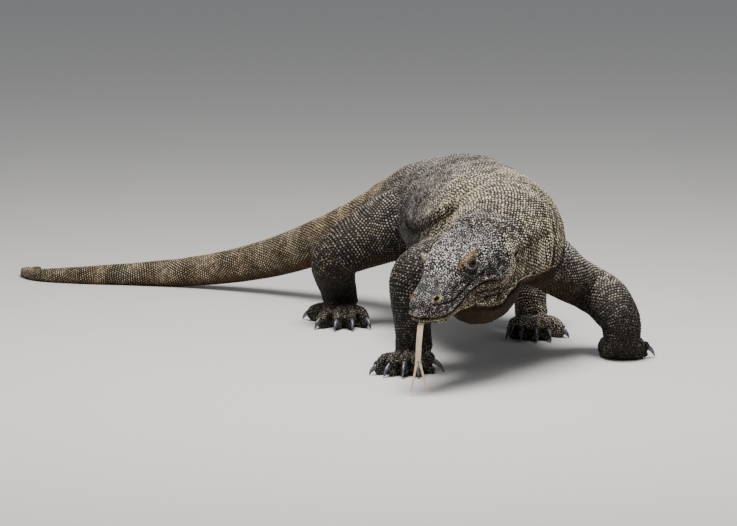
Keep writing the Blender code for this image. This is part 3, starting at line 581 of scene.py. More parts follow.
def marks_of(points, normals, raised, chance):
    """The colours of the hide, as four numbers at each point.

    They are how pale it is, how warm (0 grey, 0.5 yellow, 1 gold), how high on its scale, and a
    chance value of the scale's own.
    """
    which, far, _ = lie_of(points)  # 0 is the spine, 1 and 2 the arms, 3 and 4 the legs
    head = both_sides(in_head(points))
    on_head = (which == 0) * (1 - ease(far, 0.20, 0.25))
    on_neck = (which == 0) * ease(far, 0.20, 0.25) * (1 - ease(far, 0.46, 0.66))
    on_trunk = (which == 0) * ease(far, 0.46, 0.66) * (1 - ease(far, 0.95, 1.05))
    on_tail = (which == 0) * ease(far, 0.95, 1.05)
    down_limb = ease(far, 0.0, 0.14) * (which > 0)
    on_trunk += (which > 0) * (1 - down_limb)
    on_arm = ((which == 1) | (which == 2)) * down_limb
    on_leg = (which > 2) * down_limb
    # The patterns: mottles, worm tracks, rows of scales, rings of the tail and each scale's own
    # chance.
    # Painted light: the crown of the head and the side that is turned up are paler, as if lit from
    # above.
    broad, small = mottle(points, 0.055, 11), mottle(points, 0.012, 12)
    worm = ease(mottle(points, 0.0090, 13), -0.25, 0.25) - 0.5
    rows = np.sin(math.tau * (far + 0.014 * mottle(points, 0.04, 14)) / 0.0125)
    rings = np.sin(math.tau * (far + 0.016 * broad) / 0.085)
    spots = ease(chance, 0.05, 0.95) - 0.5
    crown_light = ease(head[:, 2], 0.12, 0.24)
    # Painted light and shade: paler where the hide faces up, darker where it faces down.
    over = ease(normals[:, 2], -0.3, 0.8) - 0.6
    pale = (on_head * (0.55 + 0.19 * crown_light + 0.24 * worm + 0.12 * small + 0.24 * spots)
            + on_neck * (0.66 + 0.08 * rows + 0.20 * small + 0.30 * spots + 0.08 * over)
            + on_trunk * (0.47 + 0.05 * rows + 0.16 * small + 0.24 * spots + 0.20 * over)
            + on_tail * (0.58 + 0.06 * rings + 0.10 * small + 0.20 * spots + 0.06 * over)
            + on_arm * (0.40 + 0.12 * small + 0.26 * spots + 0.12 * over)
            + on_leg * (0.42 + 0.12 * small + 0.26 * spots + 0.10 * over))
    warm = (on_head * 0.10 + on_neck * 0.44 + on_trunk * 0.17 + on_tail * 0.54
            + on_arm * 0.26 + on_leg * 0.34) + 0.10 * broad
    # Close behind the skull the neck is as grey as the head, and the left arm is painted darker
    # downward, a painted shade.
    nape = on_neck * (1 - ease(far, 0.24, 0.34)) * ease(normals[:, 2], 0.3, 0.7)
    pale -= 0.15 * nape - 0.20 * worm * nape
    warm -= 0.26 * nape
    pale += ((which == 2) & (down_limb > 0)) * (0.28 * ease(points[:, 2], 0.10, 0.17) - 0.07)
    # The casque is an even mid grey.
    casque = near_spot(head, *CASQUE, 0.15)
    pale += 0.55 * casque * (0.56 + 0.12 * spots - pale) * (which == 0)
    # The throat and the belly are plain yellow-brown, painted darker where the hide faces down and
    # under the throat's edge, a painted shade.
    edge_gap, _, edge_off = along_line(head, THROAT_EDGE)
    throat = ease(-edge_off[:, 2], 0.010, 0.050) * (which == 0) * (far < 0.42) * (edge_gap < 0.6)
    under_tint_and_shade = np.maximum(ease(-normals[:, 2], 0.35, 0.85) * (0.8 - 0.35 * down_limb), throat)
    pale = pale * (1 - 0.75 * under_tint_and_shade - 0.15 * throat) + under_tint_and_shade * (0.05 + 0.05 * spots)
    warm = warm * (1 - under_tint_and_shade) + under_tint_and_shade * 0.95
    # Painted shade and light on the limbs: darker low down on the arms and the right hind leg,
    # lighter on the left hind leg and its foot, which the body shades from the lamps, and each foot
    # shifted a little.
    low = 1 - ease(points[:, 2], 0.03, 0.14)
    on_foot = 1 - ease(points[:, 2], 0.03, 0.06)
    pale -= low * (1 - on_foot) * (0.06 * on_arm + 0.34 * on_leg * (which == 3))
    pale += on_foot * (0.05 * on_arm - 0.03 * on_leg)
    pale += on_leg * (which == 4) * (0.14 + 0.16 * on_foot)
    # The yellow jaw, the gold brows, the rims of the nostrils, the throat's edge, and patches.
    face = on_head > 0.5
    mouth_gap, _, mouth_off = along_line(head, MOUTH)
    jaw = ease(-mouth_off[:, 2], 0.004, 0.020) * ease(edge_off[:, 2], -0.02, 0.01) * face
    gold = (1 - ease(along_line(head, BROW)[0], 0.016, 0.034)) * face * ease(chance, 0.0, 0.25)
    rim = bump(nostril_gap(head) - 0.026, 0.011) * face
    edge = bump(edge_gap, 0.024) * (edge_off[:, 2] > -0.02)
    ear = near_spot(head, (-0.045, 0.310, 0.105), (1, 1, 0.6), 0.064)
    jowl_shade = near_spot(head, (0.300, 0.270, 0.020), (0.7, 1, 1), 0.100)
    behind_jaw = near_spot(head, (0.000, 0.304, -0.075), (1, 1, 0.7), 0.080)
    shoulder = near_spot(head, (-0.624, 0.333, -0.170), (0.7, 1, 0.8), 0.140)
    socket = near_spot(head, (0.480, 0.250, 0.190), (1, 1, 1), 0.060)
    # Openings and creases are painted dark, a painted shade in them.
    hollow_shade = np.maximum(bump(nostril_gap(head), 0.0135), bump(ear_gap(head), 0.015))
    hollow_shade = np.maximum(hollow_shade, bump(mouth_gap, 0.0085) * face)
    for line, _, width in CREASES:
        hollow_shade = np.maximum(hollow_shade, 0.9 * near_line(head, line, width) * face)
    for line, shade, width in ((NAPE_FOLD, 0.75, 0.013), (SHOULDER_FOLD, 0.60, 0.020),
                               (NECK_FOLD, 0.40, 0.016)):
        near = near_line(head, line, width) * (which == 0) * (far < 0.5)
        hollow_shade = np.maximum(hollow_shade, shade * near)
    # Painted shadow: the crease behind the shoulder blade is painted dark, and the flank below it
    # darker, as under the hanging fold.
    gap, _, offset = along_line(points, BLADE_FOLD)
    hollow_shade = np.maximum(hollow_shade, 0.9 * bump(gap, 0.0045))
    pale -= 0.12 * bump(gap - 0.010, 0.010) * (offset[:, 2] < 0) * (which == 0)
    # The lids: grey below with a crease round them painted dark as shade, gold above, all fainter
    # on the right.
    off_eye = head - eye_share
    round_eye = np.linalg.norm(off_eye, axis=1)
    lid = bump(round_eye - 0.053, 0.011) * face
    upper = lid * ease(off_eye[:, 2], 0.005, 0.025)
    hollow_shade = np.maximum(hollow_shade, 0.7 * bump(round_eye - 0.080, 0.011) * (off_eye[:, 2] < 0.02) * face)
    left = ease(in_head(points)[:, 1], -0.05, 0.05)
    gold = np.maximum(gold * (1 - lid), upper) * (0.35 + 0.65 * left)
    # The scales of the upper lip are pale.
    labial = bump(mouth_off[:, 2] - 0.026, 0.016) * (mouth_gap < 0.06) * face
    pale += 0.20 * labial + 0.26 * lid * (0.2 + 0.8 * left)
    # The jowl and the socket round the eye are painted darker, a painted shade.
    pale += (0.08 * rim + 0.26 * edge + 0.54 * ear + 0.06 * jaw - 0.13 * jowl_shade
             + (0.36 * behind_jaw + 0.36 * shoulder) * (which == 0)
             - 0.16 * socket * (1 - gold) * (1 - lid))
    pale = (pale * (1 - gold) + (0.53 + 0.26 * spots) * gold) * (1 - hollow_shade)
    for mask, tint in ((jaw, 0.50), (gold, 0.74 + 0.22 * chance), (rim, 0.74),
                       (np.maximum(edge, ear), 0.46)):
        warm = warm * (1 - mask) + tint * mask
    return np.stack([np.clip(pale, 0, 1), np.clip(warm, 0, 1), raised, chance], axis=1)


def mark(mesh, marks):
    """Keeps the four numbers of each point on the mesh, for the material to read."""
    layer = mesh.color_attributes.new("marks", "FLOAT_COLOR", "POINT")
    layer.data.foreach_set("color", marks.astype(np.float32).ravel())


class Wire:
    """A socket of a material's nodes, on which Python's sums work."""

    def __init__(self, tree, socket=None):
        self.tree, self.socket = tree, socket

    def node(self, kind, settings=None, values=None, output=0):
        made = self.tree.nodes.new("ShaderNode" + kind)
        for key, value in (settings or {}).items():
            if key == "stops":
                for i, (place, colour) in enumerate(value):
                    stops = made.color_ramp.elements
                    stop = stops[i] if i < len(stops) else stops.new(place)
                    stop.position, stop.color = place, (*colour, 1)
            else:
                setattr(made, key, value)
        for key, value in (values or {}).items():
            if isinstance(value, Wire):
                self.tree.links.new(value.socket, made.inputs[key])
            else:
                made.inputs[key].default_value = value
        return Wire(self.tree, made.outputs[output])

    def sum(self, operation, first, second):
        return self.node("Math", {"operation": operation}, {0: first, 1: second})

    def __add__(self, other):
        return self.sum("ADD", self, other)

    def __radd__(self, other):
        return self.sum("ADD", other, self)

    def __sub__(self, other):
        return self.sum("SUBTRACT", self, other)

    def __rsub__(self, other):
        return self.sum("SUBTRACT", other, self)

    def __mul__(self, other):
        return self.sum("MULTIPLY", self, other)

    def __rmul__(self, other):
        return self.sum("MULTIPLY", other, self)

    def mix(self, first, second):
        """The first colour where this is 0, the second where it is 1."""
        return self.node("Mix", {"data_type": "RGBA"}, {0: self, 6: first, 7: second}, 2)

    def cloudy(self, place, scale, detail):
        """A noise from 0 to 1, with so many clouds to the metre."""
        return self.node("TexNoise", None, {"Vector": place, "Scale": scale, "Detail": detail})

    def ramp(self, stops):
        """The colour that this number stands for."""
        return self.node("ValToRGB", {"stops": stops}, {0: self})

    def slope(self, start, end, most):
        """Rises evenly from 0 where this number is the start to the most where it is the end."""
        return self.node("MapRange", None, {"Value": self, 1: start, 2: end, 3: 0.0, 4: most})

    def relief(self, strength, depth):
        """The hills and hollows that this number raises in the surface."""
        return self.node("Bump", None, {"Strength": strength, "Distance": depth, "Height": self})

    def feed(self, shader, name):
        """Leads this into a socket of the shader."""
        self.tree.links.new(self.socket, shader.inputs[name])


def finish_of(name, rough, coat=0.0):
    """A new material, a Wire in its nodes, and its shader."""
    material = bpy.data.materials.new(name)
    material.use_nodes = True
    shader = material.node_tree.nodes["Principled BSDF"]
    shader.inputs["Roughness"].default_value = rough
    shader.inputs["Coat Weight"].default_value = coat
    return material, Wire(material.node_tree), shader


def hide_material(name, bump_height):
    """The dry matt horn of the hide and its scales, grey to yellow to gold."""
    material, wire, shader = finish_of(name, 0.5)
    shader.inputs["Specular IOR Level"].default_value = 0.13
    marks = wire.node("Attribute", {"attribute_name": "marks"})
    pale = wire.node("SeparateColor", None, {0: marks})
    warm, raised = (Wire(wire.tree, pale.socket.node.outputs[k]) for k in (1, 2))
    place = wire.node("TexCoord", output="Object")
    speckle = wire.cloudy(place, 620.0, 3.0)
    cloud = wire.cloudy(place, 26.0, 4.0)
    # Each bead is painted pale at its top and dark down its sides, a painted highlight and painted
    # shade, on the hide's own dark between the scales.
    tone = pale * (0.10 + 0.90 * raised) + (speckle - 0.5) * 0.13 + (cloud - 0.5) * 0.13
    grey, yellow, gold = (tone.ramp(stops) for stops in (GREY, YELLOW, GOLD))
    soft = wire.node("Math", {"operation": "MULTIPLY", "use_clamp": True}, {0: warm, 1: 2.0})
    hard = wire.node("Math", {"operation": "MULTIPLY_ADD", "use_clamp": True},
                     {0: warm, 1: 2.0, 2: -1.0})
    hard.mix(soft.mix(grey, yellow), gold).feed(shader, "Base Color")
    (0.66 - 0.22 * raised + (speckle - 0.5) * 0.2).feed(shader, "Roughness")
    speckle.relief(0.5, bump_height).feed(shader, "Normal")
    return material


GREY = [(0.0, (0.004, 0.0038, 0.0038)), (0.25, (0.022, 0.021, 0.020)),
        (0.50, (0.170, 0.160, 0.160)), (0.80, (0.68, 0.64, 0.63))]
YELLOW = [(0.0, (0.006, 0.0045, 0.003)), (0.25, (0.034, 0.025, 0.016)),
          (0.50, (0.228, 0.186, 0.122)), (0.80, (0.75, 0.665, 0.46))]
GOLD = [(0.0, (0.008, 0.004, 0.0015)), (0.25, (0.074, 0.037, 0.009)),
        (0.50, (0.380, 0.205, 0.070)), (0.80, (0.80, 0.57, 0.25))]

at = numbers(skin.data.vertices, "co", 3)
normal = numbers(skin.data.vertex_normals, "vector", 3)
head = both_sides(in_head(at))
# Where no scales grow, the hide itself carries the colour: round the nostrils and on the lids,
# and between the gold scales of the brows.
smooth = bump(nostril_gap(head) - 0.024, 0.012)
for ball in eyes_at.values():
    smooth = np.maximum(smooth, bump(np.linalg.norm(at - np.array(ball), axis=1) - 0.0108, 0.0012))
on_brow = 1 - ease(along_line(head, BROW)[0], 0.016, 0.030)
smooth = np.maximum(smooth, 0.8 * on_brow)
mark(skin.data, marks_of(at, normal, 0.55 * smooth, np.full(len(at), 0.55)))
skin.data.materials.append(hide_material("hide between the scales", 0.0010))
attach(skin, "root")
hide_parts(*FLESH)

# ---- The scales ----
# Beads of horn, in rings round the body and the limbs and in no order on the head and the feet.
# They are largest on the neck and high on the limbs, and smallest on the face, the throat and
# the toes. Each is a low oval dome of twenty-four facets.
SIDES = 8
DOME = np.array([(0, 0, 1.0)] + [
    (r * math.cos(math.tau * k / SIDES), r * math.sin(math.tau * k / SIDES), h)
    for r, h in ((0.64, 0.80), (1.0, -0.15)) for k in range(SIDES)
])
DOME_FACES = np.array([
    face for k, after in ((k, (k + 1) % SIDES) for k in range(SIDES)) for face in (
        (0, 1 + k, 1 + after), (1 + k, 1 + SIDES + k, 1 + SIDES + after),
        (1 + k, 1 + SIDES + after, 1 + after))
])
HEIGHT = 0.26  # of a dome, in shares of its half length and half width together
UV_PATCH = 0.0015  # half of the patch's width

skin_bm = bmesh.new()
skin_bm.from_mesh(skin.data)
bmesh.ops.triangulate(skin_bm, faces=skin_bm.faces)
tree = BVHTree.FromBMesh(skin_bm)
skin_at = np.array([v.co for v in skin_bm.verts])
skin_normal = np.array([v.normal for v in skin_bm.verts])
skin_faces = np.array([[v.index for v in f.verts] for f in skin_bm.faces])
skin_bm.free()


def pitch_at(points, which, far):
    """The distance from one scale to the next at each point."""
    spine = np.interp(far, (0.0, 0.10, 0.20, 0.30, 0.45, 0.60, 0.90, 1.20, 1.80, 2.20),
                      (0.0044, 0.0054, 0.0056, 0.0062, 0.0066, 0.0060, 0.0058, 0.0058, 0.0050,
                       0.0040))
    limb = np.interp(points[:, 2], (0.0, 0.03, 0.06, 0.12), (0.0038, 0.0042, 0.0050, 0.0062))
    size = np.where(which == 0, spine, limb)
    head = both_sides(in_head(points))
    under = -along_line(head, THROAT_EDGE)[2][:, 2]
    size = np.where((which == 0) & (far < 0.42), size * (1 - 0.35 * ease(under, 0.0, 0.05)), size)
    cheek = ease(0.24 - head[:, 2], 0.0, 0.10) * (which == 0) * (far < 0.24)
    brow = (1 - ease(along_line(head, BROW)[0], 0.020, 0.040)) * (which == 0)
    casque = near_spot(head, *CASQUE, 0.13) * (which == 0)
    return size * (1 - 0.20 * np.maximum(np.maximum(cheek, brow), casque))


class Crowd:
    """Places already taken, kept in cells so that the near ones are quick to find."""

    def __init__(self, cell=0.006):
        self.cell, self.cells = cell, {}

    def key(self, place):
        return tuple(int(math.floor(c / self.cell)) for c in place)

    def free(self, place, gap):
        px, py, pz = place
        x, y, z = self.key(place)
        for i in (x - 1, x, x + 1):
            for j in (y - 1, y, y + 1):
                for k in (z - 1, z, z + 1):
                    for qx, qy, qz in self.cells.get((i, j, k), ()):
                        if (qx - px) ** 2 + (qy - py) ** 2 + (qz - pz) ** 2 < gap * gap:
                            return False
        return True

    def take(self, place):
        self.cells.setdefault(self.key(place), []).append(place)


crowd = Crowd()
placed = []  # place, face of the skin, half length, half width, how much it is turned


def try_place(hit, face, gap, long, wide, turned=0.0):
    """Places a bead on the hide, unless the hide is bare there or another bead is too near."""
    place = tuple(hit)
    if place[2] < BEAD_FLOOR or bare[face] or not crowd.free(place, gap):
        return
    crowd.take(place)
    placed.append((*place, face, long, wide, turned))


def to_world(share):
    """The place of a point that is given in shares of the head."""
    return HEAD_AT + (FORWARD * share[0] + LEFTWARD * share[1] + RISE * share[2]) * HEAD


# No scale grows in the slit of the mouth, in the nostrils and ears, in the deep creases, or
# within the lids. The last crease is only a shallow one.
middles = skin_at[skin_faces].mean(axis=1)
shares = both_sides(in_head(middles))
bare = (nostril_gap(shares) < 0.027) | (ear_gap(shares) < 0.024)
bare |= along_line(middles, BLADE_FOLD)[0] < 0.0030
bare_lines = [(MOUTH, 0.0085), (NAPE_FOLD, 0.0075)] + [(line, 0.0070) for line, *_ in CREASES[:5]]
for line, width in bare_lines:
    bare |= along_line(shares, line)[0] < width
for ball in eyes_at.values():
    bare |= np.linalg.norm(middles - np.array(ball), axis=1) < EYE_BALL + 0.0006

# Rows of their own: round the lids, along both lips and on the throat's edge.
LID_BALL = 0.0112  # from the middle of the eye to the lids
LID_OPEN = 54  # how wide they open, in degrees, give or take a few
for ball, look, fore, above in lids.values():
    for past, step in ((5, 0.0016), (14, 0.0020), (27, 0.0026)):  # degrees past the lid, spacing
        radius = LID_BALL * math.sin(math.radians(LID_OPEN + past))
        count = round(math.tau * radius / (step * 1.05))
        for k in range(count):
            spin = math.tau * (k + past / 30) / count
            open_by = math.radians(lid_edge(math.cos(spin), math.sin(spin)) + past)
            way = (look * math.cos(open_by)
                   + (fore * math.cos(spin) + above * math.sin(spin)) * math.sin(open_by))
            hit, _, face, _ = tree.ray_cast(ball + way * 0.0300, -way)
            if hit:
                try_place(hit, face, step * 0.6, step * 0.50, step * 0.50)
ROWS = (  # line, offset, spacing, half length, half width
    (MOUTH, (0, 0.004, 0.020), 0.0046, 0.0022, 0.0022),
    (MOUTH, (0, -0.002, -0.022), 0.0046, 0.0022, 0.0020),
    (THROAT_EDGE, (0, 0.004, 0.006), 0.0054, 0.0026, 0.0023),
)
for line, offset, spacing, long, wide in ROWS:
    lengths = np.linalg.norm(np.diff(line, axis=0), axis=1) * HEAD
    steps = np.concatenate([[0], np.cumsum(lengths)])
    for t in np.arange(0, steps[-1], spacing):
        share = [np.interp(t, steps, line[:, k]) + offset[k] for k in range(3)]
        for mirror in (1, -1):
            aim = to_world((share[0], share[1] * mirror, share[2]))
            spot, _, face, gap = tree.find_nearest(aim)
            if gap < 0.02:
                try_place(spot, face, spacing * 0.72, long, wide)


RAYS = 72  # by which the way round the body is measured
RING_STEP = 0.92  # from ring to ring, in shares of the pitch, as are the three below
RING_ROOM = 0.72  # the least distance between two beads
RING_LONG, RING_WIDE = 0.43, 0.50  # the half length and half width of a bead
SWAY, SWAY_GRAIN = 0.010, 0.045  # how far a ring wanders, and over what length


def rings_round(run, start, stop, reach):
    """Beads in rings round a run, every other ring shifted by half a bead.

    The reach is how far from the middle the hide is looked for, in shares of the run's half width.
    """
    far, row = start, 0
    while far < stop:
        middle, ahead, side, up, half = run.at_length(far)
        most = max(half.x, half.y)
        rim = []
        for k in range(RAYS):
            spin = math.tau * k / RAYS
            way = (side * math.cos(spin) * half.x + up * math.sin(spin) * half.y).normalized()
            hit = tree.ray_cast(middle, way, reach * most)[0]
            rim.append(hit if hit else middle + way * most)
        rim.append(rim[0])
        steps = np.cumsum([0] + [(b - a).length for a, b in zip(rim, rim[1:])])
        probe = np.array([rim[RAYS // 4]])
        kind = np.array([0 if run is RUNS["spine"] else 1])
        pitch = float(pitch_at(probe, kind, np.array([far]))[0])
        count = max(6, 2 * round(steps[-1] / pitch / 2))
        for k in range(count):
            t = (k + 0.5 * (row % 2)) / count * steps[-1]
            aim = np.array([np.interp(t, steps, [p[axis] for p in rim]) for axis in range(3)])
            sway = noise.noise(Vector(aim) / SWAY_GRAIN) * SWAY
            way = (Vector(aim) + ahead * sway - middle).normalized()
            hit, _, face, _ = tree.ray_cast(middle, way, reach * most)
            if hit:
                try_place(hit, face, RING_ROOM * pitch, RING_LONG * pitch, RING_WIDE * pitch)
        far += pitch * RING_STEP
        row += 1


# Where each run's rings start, how far before its end they stop, and their reach.
for name, start, stop, reach in (("arm_right", 0.045, 0.05, 1.45), ("arm_left", 0.03, 0.05, 1.45),
                                 ("leg_right", 0.03, 0.05, 1.45), ("leg_left", 0.05, 0.05, 1.45),
                                 ("spine", 0.235, 0.003, 1.35)):
    run = RUNS[name]
    rings_round(run, start, run.far[-1] - stop, reach)

# What the rings leave bare, at the roots of the limbs, on the head and on the feet, is filled
# with beads in no order.
TRIES = 9  # for each scale that there would be room for
dice = random.Random(7)
corners = skin_at[skin_faces]
areas = np.linalg.norm(np.cross(corners[:, 1] - corners[:, 0], corners[:, 2] - corners[:, 0]),
                       axis=1) / 2
spread = np.random.default_rng(7)
face_which, face_far, _ = lie_of(middles)
face_pitch = pitch_at(middles, face_which, face_far)
weight = areas / face_pitch**2
tries = int(weight.sum() * TRIES)
picks = spread.choice(len(areas), size=tries, p=weight / weight.sum())
first, second = spread.random(tries), spread.random(tries)
flip = first + second > 1
first, second = np.where(flip, 1 - first, first), np.where(flip, 1 - second, second)
picked = corners[picks]
spots = (picked[:, 0] + first[:, None] * (picked[:, 1] - picked[:, 0])
         + second[:, None] * (picked[:, 2] - picked[:, 0]))
for share, clear in ((1.0, 0.82), (0.50, 1.36)):  # full-sized, then small ones in the gaps
    grown = KDTree(len(placed))
    for number, bead in enumerate(placed):
        grown.insert(bead[:3], number)
    grown.balance()
    sizes = share * face_pitch[picks] * spread.uniform(0.84, 1.12, tries)
    for spot, face, size in zip(spots.tolist(), picks.tolist(), sizes.tolist()):
        if grown.find(spot)[2] > clear * size:
            long = dice.uniform(0.42, 0.58)
            try_place(spot, face, clear * size, size * long, size * (0.98 - long),
                      dice.gauss(0, 0.7))

# Each bead stands on the smooth normal of the hide at its place, which is the mean of the normals
# at its face's three corners, each by how near it is.
placed = np.array(placed)
at = placed[:, :3]
corner = skin_faces[placed[:, 3].astype(int)]
start, one_end, other_end = (skin_at[corner[:, k]] for k in range(3))
one, other, off = one_end - start, other_end - start, at - start
one_one, one_other, other_other = (one * one).sum(1), (one * other).sum(1), (other * other).sum(1)
off_one, off_other = (off * one).sum(1), (off * other).sum(1)
area = np.maximum(one_one * other_other - one_other * one_other, 1e-20)
by_one = np.clip((other_other * off_one - one_other * off_other) / area, 0, 1)[:, None]
by_other = np.clip((one_one * off_other - one_other * off_one) / area, 0, 1)[:, None]
normal = (skin_normal[corner[:, 0]] * (1 - by_one - by_other) + skin_normal[corner[:, 1]] * by_one
          + skin_normal[corner[:, 2]] * by_other)
normal /= np.linalg.norm(normal, axis=1)[:, None]
# It is turned along the body.
which, far, turn = lie_of(at)
ahead = np.zeros_like(at)
for number, run in enumerate(RUNS.values()):
    chosen = which == number
    for axis in range(3):
        ahead[chosen, axis] = np.interp(far[chosen], run.far, run.ahead[:, axis])
ahead -= normal * (ahead * normal).sum(1)[:, None]
ahead /= np.maximum(np.linalg.norm(ahead, axis=1), 1e-6)[:, None]
side = np.cross(normal, ahead)
turned = placed[:, 6, None]
ahead, side = (ahead * np.cos(turned) + side * np.sin(turned),
               side * np.cos(turned) - ahead * np.sin(turned))
spread = np.random.default_rng(11)
chance = spread.random(len(at))
long, wide = placed[:, 4], placed[:, 5]
chance[long + wide < 0.65 * pitch_at(at, which, far)] *= 0.5  # the small ones are the darker
high = (long + wide) * HEIGHT

# The beads are joined into a few pieces of the coat, by the part of the body on which they lie.
LENGTHS = (("head", -math.inf, 0.228), ("neck", 0.228, 0.50), ("shoulders", 0.50, 0.68),
           ("back", 0.68, 0.86), ("rump", 0.86, 1.12), ("tail", 1.12, math.inf))
coats = {f"coat_{name}": (which == 0) & (far >= start) & (far < stop)
         for name, start, stop in LENGTHS}
for number, name in list(enumerate(RUNS))[1:]:
    coats[f"coat_{name}"] = which == number
scale_material = hide_material("scales", 0.00012)
n = len(DOME)
for name, chosen in coats.items():
    count = int(chosen.sum())
    local = DOME[None] * np.stack([long[chosen], wide[chosen], high[chosen]], axis=1)[:, None]
    points = (at[chosen][:, None] + local[:, :, 0:1] * ahead[chosen][:, None]
              + local[:, :, 1:2] * side[chosen][:, None]
              + local[:, :, 2:3] * normal[chosen][:, None])
    faces = (DOME_FACES[None] + n * np.arange(count)[:, None, None]).reshape(-1, 3)
    mesh = bpy.data.meshes.new(name)
    mesh.vertices.add(count * n)
    mesh.vertices.foreach_set("co", points.astype(np.float32).ravel())
    mesh.loops.add(len(faces) * 3)
    mesh.loops.foreach_set("vertex_index", faces.astype(np.int32).ravel())
    mesh.polygons.add(len(faces))
    mesh.polygons.foreach_set("loop_start", np.arange(0, len(faces) * 3, 3, dtype=np.int32))
    mesh.update(calc_edges=True)
    mesh.shade_smooth()
    # Each bead's own small patch, where it lies on the hide unrolled along the body, kept a
    # little in from the edges of the map.
    runs = far[chosen]
    root = np.stack([turn[chosen], (runs - runs.min()) / np.ptp(runs)], axis=1) * 0.98 + 0.01
    patch = root[:, None] + UV_PATCH * DOME[None, :, :2]
    layer = mesh.uv_layers.new(name="OFBake")
    layer.data.foreach_set("uv", patch.reshape(-1, 2)[faces.ravel()].astype(np.float32).ravel())
    marks = marks_of(at[chosen], normal[chosen], np.zeros(count), chance[chosen])
    marks = np.repeat(marks, n, axis=0)
    # Each point of a bead is marked by its height on the dome, which paints the bead's top paler, a
    # painted highlight.
    marks[:, 2] = np.tile(np.clip(DOME[:, 2], 0, 1) ** 1.4, count)
    mark(mesh, marks)
    mesh.materials.append(scale_material)
    coat = bpy.data.objects.new(name, mesh)
    bpy.context.scene.collection.objects.link(coat)
    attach(coat, "root")

# ---- The eyes ----
# Dark brown glossy balls, bulged at the clear front, deep in the lids. Each stands for the
# plain ball of the solid model.
IRIS = [(0.0, (0.001, 0.001, 0.001)), (0.30, (0.001, 0.001, 0.001)),  # pupil
        (0.34, (0.022, 0.010, 0.005)), (0.46, (0.012, 0.006, 0.004)), (0.60, (0.004, 0.003, 0.002))]
for side, (ball, look, *_) in lids.items():
    bm = bmesh.new()
    bmesh.ops.create_uvsphere(bm, u_segments=40, v_segments=28, radius=EYE_BALL)
    for vert in bm.verts:
        share = max(vert.co.normalized().z, 0)
        vert.co *= 1 + 0.05 * ease(share, 0.80, 1.0)
    spun = look.to_track_quat("Z", "Y").to_matrix().to_4x4()
    bmesh.ops.transform(bm, matrix=Matrix.Translation(ball) @ spun, verts=bm.verts)
    eye = piece_of(f"eyeball_{side}", bm)
    off = numbers(eye.data.vertices, "co", 3) - np.array(ball)
    ahead = off @ np.array(look) / np.linalg.norm(off, axis=1)
    angle = np.degrees(np.arccos(np.clip(ahead, -1, 1)))
    layer = eye.data.attributes.new("from_pupil", "FLOAT", "POINT")
    layer.data.foreach_set("value", (angle / 90).astype(np.float32))
    material, wire, shader = finish_of(f"eye {side}", 0.08, coat=0.7)
    shader.inputs["Coat Roughness"].default_value = 0.03
    shader.inputs["Coat IOR"].default_value = 1.36
    shader.inputs["Specular IOR Level"].default_value = 0.0
    ring = wire.node("Attribute", {"attribute_name": "from_pupil"}, output="Fac")
    streak = wire.cloudy(wire.node("TexCoord", output="Object"), 900.0, 2.0)
    (ring + (streak - 0.5) * 0.05).ramp(IRIS).feed(shader, "Base Color")
    eye.data.materials.append(material)
    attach(eye, "root")
    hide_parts(f"eye_{side}")

# ---- The tongue ----
# A flat forked ribbon of wet flesh, yellow-beige, with dark specks about the fork and orange
# tips. The solid's facets are grown over and smoothed.
bm = bmesh.new()
bm.from_mesh(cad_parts["tongue"].data)
bmesh.ops.remove_doubles(bm, verts=bm.verts, dist=1e-5)
tongue = piece_of("tongue_flesh", bm)
remesh = tongue.modifiers.new("Grow over", "REMESH")
remesh.mode = "VOXEL"
remesh.voxel_size = 0.0005
settle(tongue)
relax(tongue, np.full(len(tongue.data.vertices), 1.0), 6)
tongue.data.shade_smooth()
material, wire, shader = finish_of("tongue", 0.38, coat=0.25)
place = wire.node("TexCoord", output="Object")
height = wire.node("SeparateXYZ", None, {0: place}, 2)
streak = wire.cloudy(place, 160.0, 4.0)
spots = wire.cloudy(place, 420.0, 1.0)
plain = streak.ramp([(0.0, (0.40, 0.29, 0.155)), (0.45, (0.60, 0.47, 0.29)),
                     (1.0, (0.74, 0.62, 0.42))])
colour = height.slope(0.052, 0.018, 0.75).mix(plain, (0.70, 0.33, 0.17, 1))  # the tips
above_tips, below_root = height.slope(0.030, 0.045, 1.0), height.slope(0.090, 0.068, 1.0)
dark = spots.slope(0.60, 0.66, 0.9) * below_root * above_tips
dark.mix(colour, (0.045, 0.030, 0.025, 1)).feed(shader, "Base Color")
streak.relief(0.4, 0.0004).feed(shader, "Normal")
tongue.data.materials.append(material)
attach(tongue, "root")
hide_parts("tongue")

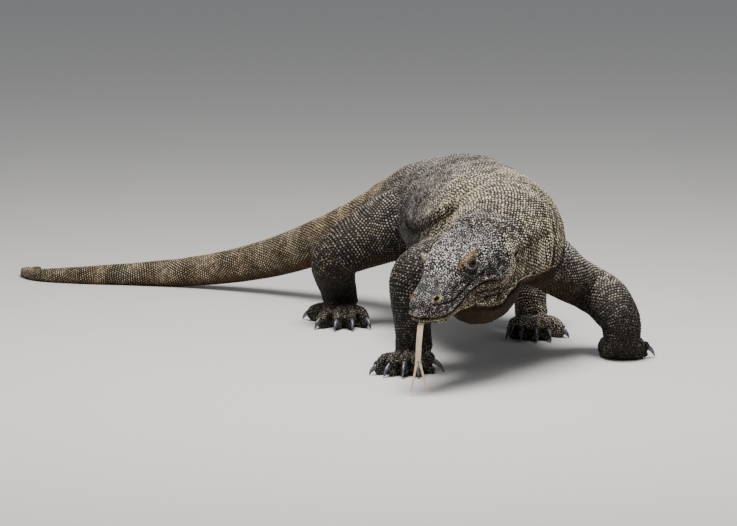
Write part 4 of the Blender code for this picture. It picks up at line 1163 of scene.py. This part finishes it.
# ---- The claws ----
# Twenty curved horns, clouded from blue-grey to nearly black, and worn. They are the solid
# model's own claws, welded and rounded, and keep their places.
material, wire, shader = finish_of("claw horn", 0.36, coat=0.15)
place = wire.node("TexCoord", output="Object")
grain = wire.cloudy(place, 140.0, 5.0)
wear = wire.cloudy(place, 700.0, 3.0)
horn = [(0.25, (0.012, 0.012, 0.014)), (0.50, (0.046, 0.048, 0.055)), (0.75, (0.16, 0.165, 0.175))]
(grain + (wear - 0.5) * 0.25).ramp(horn).feed(shader, "Base Color")
(0.30 + (wear - 0.5) * 0.5).feed(shader, "Roughness")
grain.relief(0.5, 0.0003).feed(shader, "Normal")
for name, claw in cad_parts.items():
    if name.startswith("claw"):
        weld = claw.modifiers.new("Weld", "WELD")
        weld.merge_threshold = 0.00001
        round_off = claw.modifiers.new("Round off", "SUBSURF")
        round_off.levels = round_off.render_levels = 2
        claw.data.materials.clear()
        claw.data.materials.append(material)
        claw.data.polygons.foreach_set("use_smooth", [True] * len(claw.data.polygons))

# ---- The studio ----
# A wide pale floor, one big soft lamp overhead and a weak one in front, and a long lens that
# stands ten metres off and looks a little down.
bm = bmesh.new()
bmesh.ops.create_grid(bm, x_segments=1, y_segments=1, size=40)
floor = piece_of("floor", bm)
paint, _, shader = finish_of("floor paint", 0.9)
shader.inputs["Base Color"].default_value = (0.52, 0.50, 0.47, 1)
floor.data.materials.append(paint)

LIT = Vector((0.25, -0.3, 0.15))  # where the lamps point
for name, place, size, power in (("overhead", (0.2, -0.9, 2.8), 1.5, 195),
                                 ("by the camera", (-0.9, -5.0, 3.0), 1.2, 40)):
    lamp = bpy.data.lights.new(name, "AREA")
    lamp.size = size
    lamp.energy = power
    holder = bpy.data.objects.new(name, lamp)
    holder.location = place
    holder.rotation_euler = (LIT - Vector(place)).to_track_quat("-Z", "Y").to_euler()
    bpy.context.scene.collection.objects.link(holder)
world = bpy.data.worlds.new("room")
world.use_nodes = True
world.node_tree.nodes["Background"].inputs["Color"].default_value = (0.84, 0.89, 0.97, 1)
world.node_tree.nodes["Background"].inputs["Strength"].default_value = 0.36
bpy.context.scene.world = world

LENS_MM = 258.9
CAMERA_AT = (0.3009, -10.4799, 1.6505)
LOOK_DOWN, LOOK_LEFT = 8.235, 1.1086  # degrees
lens = bpy.data.cameras.new("long lens")
lens.lens = LENS_MM
lens.clip_end = 200
camera = bpy.data.objects.new("camera", lens)
camera.location = CAMERA_AT
camera.rotation_euler = (math.radians(90 - LOOK_DOWN), 0, math.radians(LOOK_LEFT))
bpy.context.scene.collection.objects.link(camera)
bpy.context.scene.camera = camera
